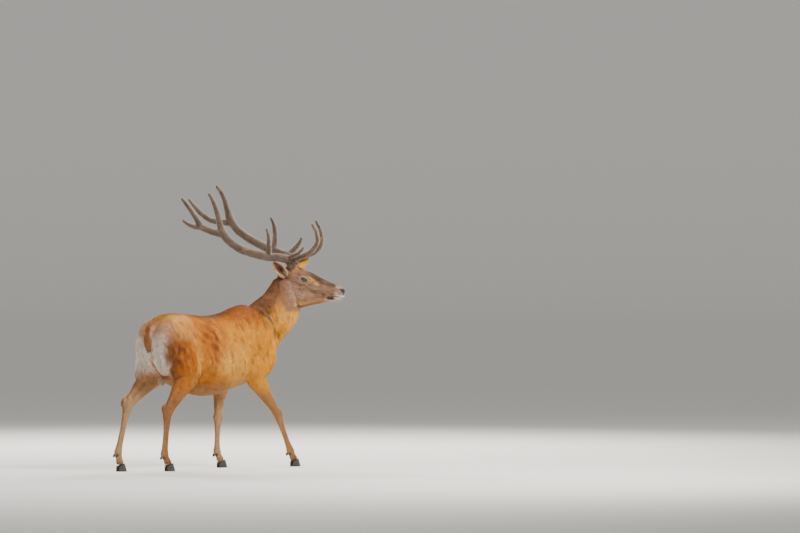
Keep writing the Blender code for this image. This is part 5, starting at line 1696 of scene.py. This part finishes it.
def studio():
    """A pale floor that sweeps up behind, and soft lights round the stag."""
    deep = [(-FLOOR_HALF, 0.0), (SWEEP_AT, 0.0)]
    for a in np.linspace(0.05, math.pi / 2, SWEEP_STEPS):
        deep.append((SWEEP_AT + SWEEP_RADIUS * math.sin(a), SWEEP_RADIUS - SWEEP_RADIUS * math.cos(a)))
    deep.append((SWEEP_AT + SWEEP_RADIUS, WALL_TOP))
    points = [(x, y, z) for y, z in deep for x in (-FLOOR_HALF, FLOOR_HALF)]
    faces = [(2 * i, 2 * i + 1, 2 * i + 3, 2 * i + 2) for i in range(len(deep) - 1)]
    mesh = bpy.data.meshes.new("studio_floor")
    mesh.from_pydata(points, [], faces)
    mesh.transform(Matrix.Rotation(math.radians(AZIMUTH), 4, "Z"))
    mesh.shade_smooth()
    mesh.materials.append(Look("pale_floor", Roughness=0.9, Base_Color=FLOOR).kind)
    added("studio_floor", mesh)
    world = bpy.data.worlds.new("soft_room")
    world.use_nodes = True
    room = world.node_tree.nodes["Background"].inputs
    room["Color"].default_value, room["Strength"].default_value = ROOM_COLOUR, ROOM_STRENGTH
    bpy.context.scene.world = world
    wash = bpy.data.lights.new("wash", "SUN")
    wash.energy, wash.angle = WASH, WASH_SOFT
    added("wash", wash).rotation_euler = (math.radians(90 - WASH_HIGH), 0.0, math.radians(AZIMUTH))
    for name, azimuth, elevation, distance, size, power, colour in LIGHTS:
        light = bpy.data.lights.new(name, "AREA")
        light.shape = "DISK"
        light.size, light.energy, light.color = size, power, colour
        placed(added(name, light), LIT_AT, azimuth, elevation, distance)


def camera():
    a = math.radians(AZIMUTH)
    aim = Vector((math.cos(a), math.sin(a), 0)) * AIM_RIGHT + Vector((0, 0, AIM_HEIGHT)) - Vector(BOX_MIDDLE)
    view = bpy.data.cameras.new("view")
    view.sensor_width = SENSOR
    view.lens = SENSOR * FAR / SPAN
    view.clip_end = CLIP_END
    eye = added("view", view)
    placed(eye, aim, AZIMUTH, ELEVATION, FAR)
    bpy.context.scene.camera = eye


# ---------------------------------------------------------------- the stag
def shown(name, mesh, kind, slot_name, *nodes):
    """A piece of the stag in the row's frame, that rides on its one body and stands for these nodes."""
    mesh.name = name
    mesh.transform(Matrix.Translation(-Vector(BOX_MIDDLE)))
    mesh.shade_smooth()
    mesh.materials.clear()
    mesh.materials.append(kind)
    piece = added(name, mesh)
    if nodes:
        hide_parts(*nodes)
    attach(piece, "root")


def nodes_named(*starts):
    return [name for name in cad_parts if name.startswith(starts)]


def main():
    coat, face, velvet = (hair_material(name) for name in HAIR)
    horn, wet, under = horn_material(), eye_material(), skin_material()
    skin = skin_mesh()
    points = points_of(skin)
    share, head = on_head(points)
    paint(skin, coat_colour(points, normals_of(skin)), bare_share(head) * (share > 0.5))
    for name, mesh in coat_pieces(skin):
        shown(name, mesh, face if name == "coat_head" else coat, COATS[name][1])
    shown("coat_tail", tail_locks(skin), coat, "tail_coat")
    for side in SIDES:
        antler = antler_mesh(side)
        paint(antler, velvet_colour(points_of(antler)))
        fuzz = velvet_mesh(antler, side)
        ear = fine_ear(side)
        paint(ear, ear_look(points_of(ear), normals_of(ear), side)[0])
        hair = ear_coat(ear, side)
        eye = eyeball_mesh(side)
        for mesh in (antler, fuzz, ear, hair, eye):
            mesh.transform(HEAD_PLACE)
        shown("antler_" + side + "_whole", antler, velvet, "velvet", *nodes_named(f"antler_{side}_"))
        shown("velvet_" + side, fuzz, velvet, "velvet")
        shown("ear_" + side + "_shell", ear, face, "face_coat", "ear_" + side)
        shown("coat_ear_" + side, hair, face, "face_coat")
        shown("eyeball_" + side, eye, wet, "eye", "eye_" + side)
    for leg in LEGS:
        shown("hoof_" + leg, hoof_mesh(leg), horn, "claw_horn", *nodes_named(f"claw_{leg}", f"dewclaw_{leg}"))
    shown("skin", skin, under, "body_coat", "trunk", "neck", "head", "tail", *nodes_named("fore_", "hind_"))
    studio()
    camera()


main()
